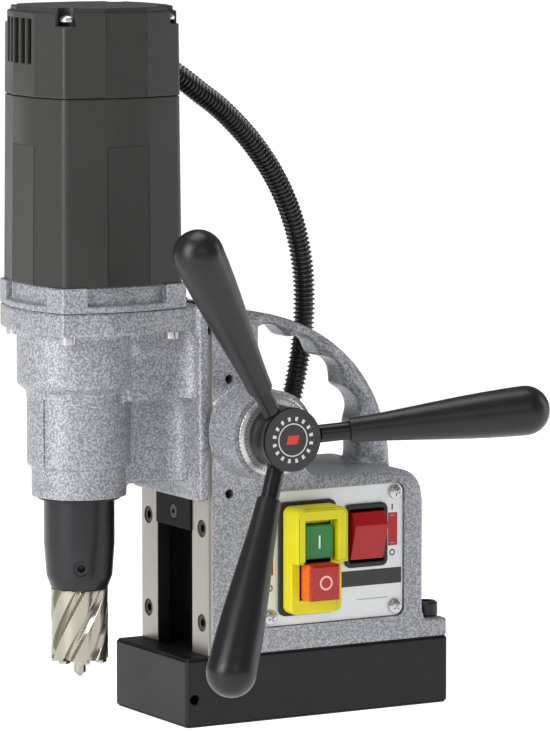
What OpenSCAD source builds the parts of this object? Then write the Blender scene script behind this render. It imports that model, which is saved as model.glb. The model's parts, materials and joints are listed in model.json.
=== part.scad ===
// Magnetic drill press: an electromagnet foot, a hollow frame casting with a carrying handle, a geared
// drill head on a rack-and-pinion slide, and a three-arm feed lever.
// Origin at the centre of the magnet's underside, +Z up, drill head towards -X, controls towards -Y.

/* [Magnet foot] */
// Length of the magnet, along X
foot_l = 160; // [150:1:200]
// Width of the magnet, along Y
foot_w = 80; // [80:1:100]
// Height of the magnet
foot_h = 36.5; // [30:0.5:44]
// Corner radius of the magnet
foot_r = 2.5; // [1:0.5:6]
// Width of the outer pole, from the side to the coil groove
pole_t = 12; // [9:0.5:15]
// Width of the coil groove in the underside
groove_w = 14; // [10:0.5:18]
// Depth of the coil groove
groove_d = 24; // [14:1:28]
// Thickness of the potting that closes the groove
potting_t = 5; // [3:0.5:8]
// Thread hole in the side for the safety chain's eye bolt
side_hole_d = 5; // [4:0.5:8]

/* [Frame casting] */
// Width of the frame casting
frame_w = 78; // [76:1:90]
// Distance from the magnet's front edge back to the column
column_inset = 16; // [12:1:24]
// Thickness of the column from front to back
column_t = 28; // [26:1:36]
// Top of the column above the underside
column_top = 213; // [205:1:260]
// Top of the switch box above the underside
box_top = 128; // [120:1:140]
// Distance from the magnet's rear edge forward to the switch box
box_inset = 15; // [12:1:24]
// Corner radius at the top of the switch box
box_r = 15; // [6:1:20]
// Height of the flange that the frame stands on
flange_t = 9.5; // [7:0.5:14]
// Wall of the casting
wall = 4.5; // [3.5:0.5:6]
// Width of the carrying handle, along Y
handle_w = 28; // [22:1:34]
// Thickness of the carrying handle at its thinnest
handle_t = 14; // [11:1:18]
// Radius of the finger grips in the handle
finger_r = 12; // [9:0.5:15]
// Frame screws, nominal diameter
frame_screw_d = 8; // [6:1:10]

/* [Slide] */
// Clear space between the two rails
rail_gap = 38; // [34:1:42]
// Width of each rail
rail_w = 17.6; // [15:0.1:18.5]
// Thickness of each rail
rail_t = 7.25; // [6:0.25:9]
// How far the rails stand proud of the column
rail_proud = 1.25; // [0:0.25:2]
// Radial clearance of everything that runs
run_gap = 0.05; // [0.02:0.01:0.1]
// How far the channel reaches behind each rail
channel_in = 6; // [5.5:0.25:7]
// Thickness of the slide's flange behind the rails
slide_flange_t = 5.5; // [5:0.25:6.5]
// Thickness of the gib strip
gib_t = 3; // [2:0.25:4]
// Lowest edge of the slide when the head is at rest
slide_z0 = 101; // [98:1:110]
/* [Feed lever] */
// Height of the lever shaft above the underside
shaft_z = 155.5; // [150:0.5:165]
// Teeth of the feed pinion
pinion_teeth = 14; // [13:1:16]
// Module of the feed rack and pinion
rack_m = 1.5; // [1.5:0.25:1.75]
// Diameter of the lever shaft
shaft_d = 16; // [12:0.5:17]
// Radius of the cast boss round the shaft
boss_r = 23.5; // [21:0.5:26]
// How far the boss stands out from the frame
boss_l = 29.5; // [20:0.5:34]
// Radius of the scale ring
scale_r = 21.2; // [19:0.1:22]
// Radius of the lever hub
hub_r = 16.5; // [14:0.5:18]
// Length of the lever hub
hub_l = 16; // [14:0.5:20]
// Outward lean of the arms, in degrees
arm_lean = 17.4; // [8:0.1:25]
// Angle of the first arm above level, in degrees
arm_start = 5; // [-30:1:30]
// Number of arms
arm_count = 3; // [3:1:3]
// Diameter of the arm rods
rod_d = 9.4; // [8:0.1:10]
// Distance from the shaft to where a grip begins
grip_s0 = 35; // [30:1:45]
// Distance from the shaft to the centre of a grip's round end
grip_s1 = 129.5; // [100:0.5:150]
// Diameter of the grips at their round end
grip_d = 26; // [22:0.5:32]

/* [Drill head] */
// Distance from the column's front to the spindle axis
spindle_reach = 58; // [56:1:64]
// Distance between the spindle axis and the motor axis
motor_shift = 8.5; // [8:0.5:11]
// Lowest face of the gear case
case_z0 = 122; // [120:1:128]
// Length of the gear case, up to the gear plate
case_h = 99; // [96:1:110]
// Diameter of the gear case round the lower bearing
nose_d = 49.6; // [48:0.2:56]
// Diameter of the gear case's middle
waist_d = 54.5; // [53:0.5:62]
// Diameter of the gear case round the spindle gear
gear_bay_d = 64.3; // [63:0.1:70]
// Thickness of the flange on top of the gear case
case_flange_t = 12.3; // [9:0.1:14]
// Half width of the head's flange across its corners' flats
flange_corner = 36; // [35:0.5:38]
// Half width of the head's flange at the middle of each side
flange_mid = 42; // [41:0.5:44]
// Thickness of the wing that carries the gear case
wing_t = 4.8; // [4:0.1:6]
// Height of the gear plate
plate_h = 13; // [10:0.5:16]
// Half width of the motor at its corners
motor_corner = 34.6; // [33:0.1:35.5]
// Half width of the motor at the middle of each side
motor_mid = 40.6; // [39:0.1:41.5]
// Length of the motor shell
shell_h = 97; // [90:1:120]
// Length of the motor cap
cap_h = 46; // [44:1:56]
// Narrowing of the motor from bottom to top, as a share
motor_draft = 0.035; // [0:0.005:0.06]
// Wall of the motor shell
shell_wall = 2.6; // [2:0.1:3.5]
// Vent slots in the motor cap
vent_count = 5; // [3:1:6]

/* [Spindle and cutter] */
// Diameter of the arbor sleeve
sleeve_d = 37; // [34:0.5:40]
// Length of the arbor sleeve below the gear case
sleeve_l = 49.2; // [44:0.2:54]
// Diameter of the spindle in its bearings
spindle_d = 20; // [18:0.5:22]
// Outside diameter of the spindle bearings
bearing_od = 42; // [38:0.5:42.5]
// Diameter of the cutter's shank
shank_d = 19.05; // [15:0.05:20]
// Length of the cutter's shank
shank_l = 30; // [24:1:34]
// Diameter of the annular cutter
cutter_d = 30; // [24:1:32]
// Cutting length of the cutter
cutter_l = 38.7; // [30:0.1:50]
// Flutes of the cutter
flutes = 7; // [5:1:9]
// Diameter of the pilot pin
pilot_d = 6.34; // [5:0.01:8]

/* [Controls] */
// Length of the front panel plate
panel_l = 86.5; // [80:0.5:88]
// Height of the front panel plate
panel_h = 71.5; // [68:0.5:73]
// Thickness of the front panel plate
panel_t = 1.5; // [1:0.25:2.5]
// Width of the start and stop switch housing
switch_w = 31; // [28:0.5:34]
// Height of the start and stop switch housing
switch_h = 57; // [54:0.5:60]
// How far the switch housing stands out from its gasket
switch_t = 16; // [12:0.5:20]
// Width of the magnet switch's bezel
rocker_w = 26; // [22:0.5:28]
// Height of the magnet switch's bezel
rocker_h = 34; // [30:0.5:36]
// Outside diameter of the corrugated conduit
conduit_d = 12; // [9:0.5:13]

/* [Hidden] */
$fn = 64;
cut = 1;            // how far a cutting solid runs past the face it opens
apart = 0.3;        // gap between pieces of two bodies that pass each other

// Magnet
rear_x = foot_l / 2;
half_w = frame_w / 2;
deck_z = foot_h + flange_t;
pole_l = foot_l - 2 * pole_t;
pole_w = foot_w - 2 * pole_t;
frame_screw_y = half_w - 11;
frame_screw_x = [rear_x - 7, -15.5];
frame_screw_head = 1.6 * frame_screw_d;
side_hole_x = 5 - rear_x;
side_hole_z = 15;

// Column, rails and slide, from front to back
col_x0 = column_inset - rear_x;
col_x1 = col_x0 + column_t;
rail_x0 = col_x0 - rail_proud;
rail_x1 = rail_x0 + rail_t;
rail_y0 = rail_gap / 2;
rail_y1 = rail_y0 + rail_w;
channel_hw = rail_y0 + channel_in;
channel_x1 = rail_x1 + slide_flange_t + 3.5;
rail_z1 = column_top - 7;
rail_screw_z = [foot_h + 17, foot_h + 67, column_top - 17];
rail_screw_y = rail_y0 + 10.4;
rail_screw_d = 5;
rail_head_d = 8.5;
gib_screw_z = [foot_h + 25.5, shaft_z - 33.4, column_top - 30.5];
gib_screw_d = 5;
gib_screw_x = rail_x1 + 4.2;
wing_x1 = col_x0 - 2.2;
wing_x0 = wing_x1 - wing_t;
slide_back_x = rail_x1 + run_gap + slide_flange_t;
slide_slot_hw = 8.2;
slide_screw_y = 13.2;

// Feed pinion, rack and lever shaft
pressure = 25;
addendum = 0.8;
dedendum = 1.05;
tooth_play = 0.09;
pinion_r = rack_m * pinion_teeth / 2;
pinion_tip = pinion_r + addendum * rack_m;
pinion_hw = slide_slot_hw - 0.8;
pitch_x = rail_x1 + 3.5;
shaft_x = pitch_x + pinion_r;
shaft_r = shaft_d / 2;
bush_r = pinion_tip + 1.3;
bush_l = 20;
boss_y = -half_w - boss_l;
pad_r = boss_r + 2.5;
rear_boss_y = half_w + 3;
scale_t = 2.7;
hub_y1 = boss_y - 2 * apart - scale_t;
hub_y0 = hub_y1 - hub_l + 3.6;
hub_bore_r = shaft_r * 0.75;
arm_y = (hub_y0 + hub_y1) / 2;
cap_front_t = 4.2;
rod_in_hub = 10.5;
rod_in_grip = 26;

// Drill head
spindle_x = col_x0 - spindle_reach;
motor_x = spindle_x + motor_shift;
case_z1 = case_z0 + case_h;
plate_z1 = case_z1 + plate_h;
shell_z1 = plate_z1 + shell_h;
cap_z1 = shell_z1 + cap_h;
corner_break = 12;
wing_z0 = case_z0 - 3.5;
wing_hw = half_w - 0.5;
wing_r = 4;
nose_h = 16;
waist_z1 = case_z0 + 55;
bay_z0 = waist_z1 + 4;
flange_z0 = case_z1 - case_flange_t;
bolt_c = flange_corner - 5.6;
bolt_d = 5;
web_hw = 17;
web_z0 = case_z0 + 6;
block_hw = 28;
block_z0 = case_z0 + 50.5;
block_r = 10;
slide_screw_z = [web_z0 + 14, block_z0 + 12];
slide_screw_d = 6;

// Gear train: armature to intermediate shaft to spindle
fast_m = 0.8;
fast_n = [10, 43];
slow_n = [10, 38];
inter_x = motor_x + fast_m * (fast_n[0] + fast_n[1]) / 2;
slow_m = 2 * (inter_x - spindle_x) / (slow_n[0] + slow_n[1]);
fast_z = case_z1 - 9;
fast_t = 7;
slow_z = case_z1 - 22;
slow_t = 9;
slow_bay_z = slow_z - 2.5;
fast_bay_z = slow_z + slow_t + 2;
inter_d = 9;
inter_bearing_od = 17;
inter_bearing_t = 5;
inter_bay_r = inter_bearing_od / 2;
slow_bay_r = slow_m * slow_n[1] / 2 + 3;
armature_d = 10;
armature_tip_z = fast_z - 1.5;
armature_top_z = shell_z1 + 22;

// Spindle
sleeve_z0 = case_z0 - sleeve_l;
sleeve_z1 = case_z0 - 1.8;
seal_d = spindle_d + 6;
seal_t = 4;
lower_bearing_z = case_z0 + 5;
lower_bearing_t = 12;
upper_bearing_z = slow_bay_z - 12;
upper_bearing_t = 10;
upper_bearing_od = 35;
spindle_top_d = spindle_d - 3;
spindle_z1 = slow_z + slow_t + 1.5;
shank_z1 = sleeve_z0 + shank_l;
pilot_head_d = pilot_d + 1.6;
pilot_bore_d = pilot_head_d + 0.6;
pilot_head_t = 4;
spring_top_z = shank_z1 + 46;
cutter_z0 = sleeve_z0 - cutter_l;
cutter_wall = 5;
core_z1 = sleeve_z0 - 6;
pilot_tip = 8.5;
set_screw_z = sleeve_z0 + 12.5;
set_screw_d = 8;
set_screw_turn = 246;

// Switch box, front panel and controls
box_x1 = rear_x - box_inset;
panel_x0 = col_x1 + 2;
panel_xc = panel_x0 + panel_l / 2;
panel_z0 = deck_z + 3.5;
panel_zc = panel_z0 + panel_h / 2;
panel_r = 5;
panel_fit = 0.4;
panel_depth = 2.5;
panel_back_y = -half_w + panel_depth;
panel_y = panel_back_y - panel_t;
panel_screw_in = 5;
panel_screw_d = 4;
lug = 10;
cavity_x0 = panel_x0 + 3;
cavity_x1 = box_x1 - wall;
window_in = 9;
switch_x = panel_x0 + 27.1;
switch_z = panel_zc - 0.3;
gasket_t = 2;
gasket_y = panel_y - gasket_t;
switch_y = gasket_y - switch_t;
switch_step = 7;
switch_wall = 2.5;
button_z = switch_z;
green_w = 16.6;
green_h = 18;
red_w = 17.4;
red_h = 19.2;
button_gap = 0.3;
button_back_y = gasket_y - 2;
green_y = switch_y + 3;
red_y = switch_y - 4;
rocker_x = panel_x0 + 63.1;
rocker_z = panel_z0 + 44.7;
bezel_t = 2;
rocker_half = 12.7;
rocker_len = rocker_w - 5.6;
rocker_pivot_y = panel_y + 2;
rocker_pin_r = 1.5;

// Corrugated conduit: from the motor cap, over the back and down into the box
conduit_r = conduit_d / 2;
conduit_y = 24;
conduit_in = [14, conduit_y, box_top];
conduit_out = [motor_x + motor_mid * (1 - 0.68 * motor_draft), 8, shell_z1 + 9.9];
conduit_route = [[-70, 8, 340.9], [-63.2, 8, 340.9], [-56.5, 8.5, 337.3], [-45, 10, 329.5],
    [-28, 13, 318], [-8, 17, 300], [9, 21, 279], [21, 24, 256], [27, 25, 232], [28, 25, 209],
    [26, 25, 188], [21.5, 25, 166], [16, 24, 149], [14, 24, 140], [14, 24, 132]];
gland_d = conduit_d + 7;
cable_gland = [box_x1, 12, foot_h + 36];

// Helpers

// Extrudes an outline drawn in X and Z from y0 to y1
module across(y0, y1) {
    translate([0, y1, 0]) rotate([90, 0, 0]) linear_extrude(y1 - y0) children();
}

// A cylinder along Y from y0 to y1, about (x, z)
module rod_y(x, z, y0, y1, r, r2 = -1) {
    translate([x, y1, z]) rotate([90, 0, 0])
        cylinder(h = y1 - y0, r1 = r, r2 = r2 < 0 ? r : r2);
}

// A cylinder along X from x0 to x1, about (y, z)
module rod_x(y, z, x0, x1, r) {
    translate([x0, y, z]) rotate([0, 90, 0]) cylinder(h = x1 - x0, r = r);
}

// A box from one corner to the other
module span(a, b) {
    translate(a) cube(b - a);
}

// A rectangle with round corners, centred
module round_rect(w, h, r) {
    square([w - 2 * r, h], center = true);
    square([w, h - 2 * r], center = true);
    for (x = [-1, 1], y = [-1, 1]) translate([x * (w / 2 - r), y * (h / 2 - r)]) circle(r);
}

// A tube's ring
module ring(r_out, r_in, h) {
    difference() {
        cylinder(h = h, r = r_out);
        translate([0, 0, -cut]) cylinder(h = h + 2 * cut, r = r_in);
    }
}

// Outline shared by the motor and its flanges: a square whose sides bulge in three flats
function bulged(corner, mid) = [for (q = [0:3], p = [[corner, -corner], [mid, -corner_break],
    [mid, corner_break]]) [p.x * cos(90 * q) - p.y * sin(90 * q), p.x * sin(90 * q) + p.y * cos(90 * q)]];

// A point on a cubic Bezier curve
function bezier(p, t) = pow(1 - t, 3) * p[0] + 3 * t * pow(1 - t, 2) * p[1]
    + 3 * t * t * (1 - t) * p[2] + pow(t, 3) * p[3];
function unit(v) = v / norm(v);
function bezier_normal(p, t) = let (d = unit(bezier(p, t + 0.001) - bezier(p, t - 0.001))) [d.y, -d.x];

// Outline of a gear with n teeth of module m, one tooth pointing along X
function polar(r, a) = [r * cos(a), r * sin(a)];
function inv(a) = tan(a) * 180 / PI - a;
function gear_outline(n, m) = let (
    rp = n * m / 2, rb = rp * cos(pressure), tip = rp + addendum * m, root = rp - dedendum * m,
    low = max(rb, root) + 0.01, half = 90 / n - tooth_play / rp * 180 / PI + inv(pressure),
    flank = [for (k = [0:3]) low + (tip - low) * k / 3],
    lean = [for (r = flank) half - inv(acos(rb / r))])
    [for (i = [0:n - 1]) let (c = i * 360 / n) each concat(
        [polar(root, c - half)], [for (k = [0:3]) polar(flank[k], c - lean[k])],
        [for (k = [3:-1:0]) polar(flank[k], c + lean[k])], [polar(root, c + half)])];

// Sweeps a round tube of radius r along a route, with the given number of sides
function smooth(p, i, t) = let (a = p[max(i - 1, 0)], b = p[i], c = p[i + 1], d = p[min(i + 2, len(p) - 1)])
    0.5 * (2 * b + (c - a) * t + (2 * a - 5 * b + 4 * c - d) * t * t + (3 * b - a - 3 * c + d) * t * t * t);
function fine(p, n) = concat([for (i = [0:len(p) - 2], k = [0:n - 1]) smooth(p, i, k / n)], [p[len(p) - 1]]);
module sweep(route, r, sides) {
    last = len(route) - 1;
    tangent = [for (i = [0:last]) unit(route[min(i + 1, last)] - route[max(i - 1, 0)])];
    points = [for (i = [0:last]) let (t = tangent[i], u = unit(cross([0, 1, 0], t)), v = cross(t, u))
        for (k = [0:sides - 1]) route[i] + r * (cos(k * 360 / sides) * u + sin(k * 360 / sides) * v)];
    walls = [for (i = [0:last - 1], k = [0:sides - 1]) let (a = i * sides, n = (k + 1) % sides)
        [a + k, a + n, a + sides + n, a + sides + k]];
    polyhedron(points, concat(walls, [[for (k = [sides - 1:-1:0]) k]],
        [[for (k = [0:sides - 1]) last * sides + k]]), convexity = 8);
}

// Magnet foot

module groove_outline(clear) {
    difference() {
        round_rect(pole_l + 2 * clear, pole_w + 2 * clear, 8);
        round_rect(pole_l - 2 * groove_w - 2 * clear, pole_w - 2 * groove_w - 2 * clear, 4);
    }
}

module frame_screw_places() {
    for (x = frame_screw_x, y = [-1, 1]) translate([x, y * frame_screw_y, 0]) children();
}

module magnet_body() {
    color("#262729") difference() {
        union() {
            translate([0, 0, 1]) linear_extrude(foot_h - 2) round_rect(foot_l, foot_w, foot_r);
            linear_extrude(foot_h) round_rect(foot_l - 2, foot_w - 2, foot_r - 0.5);
        }
        translate([0, 0, -cut]) linear_extrude(groove_d + cut) groove_outline(0);
        frame_screw_places() translate([0, 0, foot_h - 10])
            cylinder(h = 10 + cut, d = frame_screw_d);
        rod_y(side_hole_x, side_hole_z, -foot_w / 2 - cut, -foot_w / 2 + pole_t - 2, side_hole_d / 2);
        translate([20, 0, groove_d - cut]) cylinder(h = foot_h, d = 4);
    }
}

module magnet_coil() {
    color("#b4692f") translate([0, 0, potting_t]) linear_extrude(groove_d - potting_t - 1)
        groove_outline(-1);
}

module magnet_potting() {
    color("#3a3632") translate([0, 0, 0.3]) linear_extrude(potting_t - 0.3) groove_outline(-0.02);
}

module frame_screws() {
    color("#1c1c1e") frame_screw_places() difference() {
        union() {
            translate([0, 0, foot_h - 9]) cylinder(h = flange_t + 9, d = frame_screw_d - 0.1);
            translate([0, 0, deck_z]) cylinder(h = frame_screw_d, d = frame_screw_head);
        }
        translate([0, 0, deck_z + frame_screw_d / 2])
            cylinder(h = frame_screw_d, d = 0.85 * frame_screw_d, $fn = 6);
    }
}

// Frame casting

handle_outer = [[col_x1 - 6, column_top + 1.8], [col_x1 + 58, column_top + 1.8],
    [box_x1 - 3, column_top - 38], [box_x1 - 3, box_top - 3]];
handle_inner = [[col_x1 + 6, column_top - handle_t + 4], [col_x1 + 46, column_top - handle_t + 5],
    [box_x1 - 19, column_top - 37], [box_x1 - 23, box_top]];

// The handle's outline; trim draws its edges in, so that the sides can be bevelled
module handle_outline(trim) {
    out = [for (k = [0:16]) bezier(handle_outer, k / 16) + trim * bezier_normal(handle_outer, k / 16)];
    inn = [for (k = [16:-1:0])
        bezier(handle_inner, k / 16) - trim * bezier_normal(handle_inner, k / 16)];
    difference() {
        polygon(concat(out, [[box_x1 - 3 - trim, box_top - 8], [box_x1 - 23 + trim, box_top - 8]], inn,
            [[col_x1 - 6, column_top - handle_t]]));
        for (t = [0.15:0.2:0.76]) let (n = bezier_normal(handle_inner, t))
            translate(bezier(handle_inner, t) + n * (finger_r - 4.5 - trim)) circle(finger_r);
    }
}

web_x = col_x1 + 28.5;
web_fillet = 8;
module frame_outline() {
    translate([col_x0, foot_h]) square([column_t, column_top - foot_h]);
    translate([col_x0, foot_h]) square([rear_x - col_x0, flange_t]);
    translate([col_x0, foot_h]) square([box_x1 - box_r - col_x0, box_top - foot_h]);
    translate([col_x0, foot_h]) square([box_x1 - col_x0, box_top - box_r - foot_h]);
    translate([box_x1 - box_r, box_top - box_r]) circle(box_r);
    intersection() {
        translate([shaft_x, shaft_z]) circle(pad_r);
        translate([col_x0, foot_h]) square([2 * pad_r, column_top]);
    }
    difference() {
        polygon([[shaft_x, box_top - 1], [web_x + web_fillet, box_top - 1],
            [web_x + web_fillet, box_top + web_fillet], [web_x, box_top + web_fillet],
            [shaft_x + pad_r * cos(20), shaft_z + pad_r * sin(20)], [shaft_x, shaft_z]]);
        translate([web_x + web_fillet, box_top + web_fillet]) circle(web_fillet);
    }
}

module panel_screw_places() {
    for (x = [-1, 1], z = [-1, 1]) translate([panel_xc + x * (panel_l / 2 - panel_screw_in), 0,
        panel_zc + z * (panel_h / 2 - panel_screw_in)]) children();
}

module box_cavity() {
    // The room inside, with a lug left in each corner for the cover screws
    difference() {
        span([cavity_x0, -half_w + wall, deck_z], [cavity_x1, half_w - wall, box_top - wall]);
        for (x = [-1, 1], z = [-1, 1]) translate([panel_xc + x * (panel_l / 2 - panel_screw_in + lug / 4),
            0, panel_zc + z * (panel_h / 2 - panel_screw_in + lug / 4)])
            cube([lug * 1.5, frame_w, lug * 1.5], center = true);
        span([box_x1 - box_r, -half_w, box_top - box_r], [box_x1, half_w, box_top]);
    }
    // Its window on each side, and the pocket that a cover sits in
    across(-half_w - cut, half_w + cut) translate([panel_xc, panel_zc])
        round_rect(panel_l - 2 * window_in, panel_h - 2 * window_in, 6);
    for (s = [-1, 1]) across(min(s * (half_w - panel_depth), s * (half_w + cut)),
        max(s * (half_w - panel_depth), s * (half_w + cut)))
        translate([panel_xc, panel_zc])
            round_rect(panel_l + 2 * panel_fit, panel_h + 2 * panel_fit, panel_r);
}

module frame_casting() {
    color("#a9acb2") difference() {
        union() {
            across(-half_w, half_w) frame_outline();
            rod_y(shaft_x, shaft_z, boss_y, -half_w, boss_r);
            rod_y(shaft_x, shaft_z, half_w, rear_boss_y, boss_r - 4);
            across(-handle_w / 2, handle_w / 2) handle_outline(4);
            across(4 - handle_w / 2, handle_w / 2 - 4) handle_outline(0);
        }
        // Seat of the rails, and the channel behind them
        span([col_x0 - cut, -rail_y1, foot_h - cut], [rail_x1, rail_y1, column_top + cut]);
        span([col_x0, -channel_hw, foot_h - cut], [channel_x1, channel_hw, column_top + cut + 2]);
        for (y = [-1, 1], z = rail_screw_z)
            rod_x(y * rail_screw_y, z, rail_x1 - cut, rail_x1 + 12, rail_screw_d / 2);
        for (z = gib_screw_z)
            rod_y(gib_screw_x, z, -half_w - cut, -channel_hw + cut, gib_screw_d / 2);
        // Shaft bore: bush seats at both ends, room for the pinion between them
        rod_y(shaft_x, shaft_z, boss_y - cut, boss_y + 1 + bush_l, bush_r);
        rod_y(shaft_x, shaft_z, boss_y, half_w, shaft_r + 1);
        rod_y(shaft_x, shaft_z, -pinion_hw - 2, rear_boss_y + cut, bush_r);
        box_cavity();
        panel_screw_places() rod_y(0, 0, -half_w, half_w, panel_screw_d / 2);
        frame_screw_places() translate([0, 0, foot_h - cut])
            cylinder(h = flange_t + 2 * cut, d = frame_screw_d + 1);
        translate([20, 0, foot_h - cut]) cylinder(h = flange_t + 2 * cut, d = 8);
        translate([conduit_in.x, conduit_in.y, box_top - wall - cut])
            cylinder(h = wall + 2 * cut, d = conduit_d + 2);
        rod_x(cable_gland.y, cable_gland.z, box_x1 - wall - cut, box_x1 + cut, 8);
    }
}

module rail(side) {
    color("#b9b5a8") difference() {
        span([rail_x0, side > 0 ? rail_y0 : -rail_y1, foot_h],
            [rail_x1, side > 0 ? rail_y1 : -rail_y0, rail_z1]);
        for (z = rail_screw_z) {
            rod_x(side * rail_screw_y, z, rail_x0 - cut, rail_x1 + cut, rail_screw_d / 2 + 0.25);
            rod_x(side * rail_screw_y, z, rail_x0 - cut, rail_x0 + rail_screw_d, rail_head_d / 2 + 0.25);
        }
    }
}
module rail_left() { rail(1); }
module rail_right() { rail(-1); }

module rail_screws() {
    color("#303033") for (y = [-rail_screw_y, rail_screw_y], z = rail_screw_z) difference() {
        union() {
            rod_x(y, z, rail_x0 + 0.6, rail_x0 + rail_screw_d, rail_head_d / 2);
            rod_x(y, z, rail_x0 + rail_screw_d, rail_x1 + 11, rail_screw_d / 2 - 0.05);
        }
        translate([rail_x0, y, z]) rotate([0, 90, 0]) cylinder(h = 3.2, d = 4.6, $fn = 6);
    }
}

module gib_strip() {
    color("#b99748") span([rail_x1 + 0.1, -channel_hw, foot_h + 14],
        [slide_back_x, -channel_hw + gib_t, column_top - 14]);
}

module gib_screws() {
    color("#2c2c2e") for (z = gib_screw_z) difference() {
        rod_y(gib_screw_x, z, -half_w + 3, -channel_hw, gib_screw_d / 2 - 0.05);
        translate([gib_screw_x, -half_w + 2, z]) rotate([-90, 0, 0]) cylinder(h = 4, d = 2.9, $fn = 6);
    }
}

module shaft_bushes() {
    color("#b08d3e") {
        translate([shaft_x, boss_y + 1 + bush_l, shaft_z]) rotate([90, 0, 0])
            ring(bush_r, shaft_r + run_gap, bush_l);
        translate([shaft_x, rear_boss_y, shaft_z]) rotate([90, 0, 0])
            ring(bush_r, shaft_r + run_gap, rear_boss_y - channel_hw - 1);
    }
}

// Switch box covers and controls

module cover_outline() {
    difference() {
        translate([panel_xc, panel_zc]) round_rect(panel_l, panel_h, panel_r);
        for (x = [-1, 1], z = [-1, 1]) translate([panel_xc + x * (panel_l / 2 - panel_screw_in),
            panel_zc + z * (panel_h / 2 - panel_screw_in)]) circle(panel_screw_d / 2 + 0.2);
    }
}

module front_panel() {
    color("#cfd2d6") across(panel_y, panel_back_y) difference() {
        cover_outline();
        translate([switch_x, switch_z]) square([switch_w - 4, switch_h - 5], center = true);
        translate([rocker_x, rocker_z]) square([rocker_w - 3.6, rocker_h - 4.6], center = true);
    }
}

module rear_cover() {
    color("#a9acb2") {
        across(-panel_back_y, -panel_y) cover_outline();
        for (x = [-24, 24], z = [-20, 20])
            rod_y(panel_xc + x, panel_zc + z, -panel_back_y - 9, -panel_back_y, 3);
    }
}

module panel_screws() {
    color("#d8d9dc") for (s = [0, 1]) mirror([0, s, 0]) panel_screw_places() difference() {
        union() {
            rod_y(0, 0, panel_y, panel_back_y + 8, panel_screw_d / 2 - 0.05);
            rod_y(0, 0, panel_y - 1.2, panel_y, 4);
            rod_y(0, 0, panel_y - 2.4, panel_y - 1.2, 4, 2.6);
        }
        for (a = [25, 115]) translate([0, panel_y - 2.4, 0]) rotate([0, a, 0])
            cube([4.6, 2.6, 0.8], center = true);
    }
}

module switch_outline(grow) {
    translate([switch_x, switch_z]) round_rect(switch_w + 2 * grow, switch_h + 2 * grow, 4);
}

module button_outline(w, h, up, grow) {
    translate([switch_x - 0.6, button_z + up * (h / 2 + 1.1)])
        square([w + 2 * grow, h + 2 * grow], center = true);
}

module switch_gasket() {
    color("#17181a") across(gasket_y, panel_y) difference() {
        switch_outline(1.8);
        translate([switch_x, switch_z]) square([switch_w - 4, switch_h - 5], center = true);
    }
}

module switch_housing() {
    color("#dcd21c") difference() {
        union() {
            across(switch_y + switch_step, gasket_y) switch_outline(0);
            across(switch_y + 1, switch_y + switch_step) guard_outline(0);
            across(switch_y, switch_y + 1) guard_outline(1);
        }
        across(switch_y + switch_step + 2, gasket_y + cut) intersection() {
            switch_outline(-switch_wall);
            translate([switch_x, switch_z]) square([switch_w - 5, switch_h - 6], center = true);
        }
        across(switch_y - cut, gasket_y) button_outline(green_w, green_h, 1, button_gap);
        across(switch_y - cut, gasket_y) button_outline(red_w, red_h, -1, button_gap);
        across(switch_y - cut, switch_y + switch_step) guard_window();
    }
}

// The raised guard round the start button, open below
module guard_outline(trim) {
    intersection() {
        switch_outline(-trim);
        translate([switch_x - switch_w, button_z - 1 + trim]) square([2 * switch_w, switch_h]);
    }
}
module guard_window() {
    translate([switch_x - 0.6 - green_w / 2 - 1.6, button_z - 2])
        square([green_w + 3.2, green_h + 6]);
}

module switch_block() {
    color("#2a2b2e") {
        span([switch_x - 12.5, panel_y, switch_z - 25], [switch_x + 12.5, panel_y + 26, switch_z + 25]);
        for (z = [-16, -5, 5, 16]) span([switch_x - 8, panel_y + 26, switch_z + z - 2],
            [switch_x + 8, panel_y + 29, switch_z + z + 2]);
    }
}

module start_button() {
    color("#2f8f3a") across(green_y, button_back_y) button_outline(green_w, green_h, 1, 0);
}

module stop_button() {
    color("#b3202a") {
        across(red_y + 1, button_back_y) button_outline(red_w, red_h, -1, 0);
        across(red_y, red_y + 1) button_outline(red_w, red_h, -1, -0.8);
    }
}

module magnet_switch() {
    color("#1b1b1d") difference() {
        union() {
            across(panel_y - bezel_t, panel_y) translate([rocker_x, rocker_z])
                round_rect(rocker_w, rocker_h, 3.5);
            across(panel_y, panel_y + 20) translate([rocker_x, rocker_z])
                square([rocker_w - 4, rocker_h - 5], center = true);
        }
        across(panel_y - bezel_t - cut, panel_y + 14) translate([rocker_x, rocker_z])
            square([rocker_len + 2 * apart, 2 * rocker_half + 3], center = true);
        rod_x(rocker_pivot_y, rocker_z, rocker_x - rocker_w / 2, rocker_x + rocker_w / 2,
            rocker_pin_r + run_gap);
    }
}

// The rocker's side outline, outwards from its pivot and in Z, and its pin
module magnet_rocker() {
    color("#b21f2c") {
        translate([rocker_x - rocker_len / 2, rocker_pivot_y, rocker_z])
            rotate([90, 0, 90]) linear_extrude(rocker_len)
                polygon([[4, -8], [-3, -rocker_half], [-4.2, -rocker_half], [-9.6, 6.2],
                    [-5.4, rocker_half], [-2, rocker_half], [4, 8]]);
        rod_x(rocker_pivot_y, rocker_z, rocker_x - rocker_len / 2 - 0.7,
            rocker_x + rocker_len / 2 + 0.7, rocker_pin_r);
    }
}

module circuit_board() {
    color("#1f6b3c") {
        span([panel_xc - 30, -panel_back_y - 10.6, panel_zc - 26], [panel_xc + 30, -panel_back_y - 9,
            panel_zc + 26]);
        span([panel_xc - 24, -panel_back_y - 24.6, panel_zc - 14], [panel_xc - 4, -panel_back_y - 10.6,
            panel_zc + 8]);
        rod_y(panel_xc + 12, panel_zc - 12, -panel_back_y - 26.6, -panel_back_y - 10.6, 7);
    }
}

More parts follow.
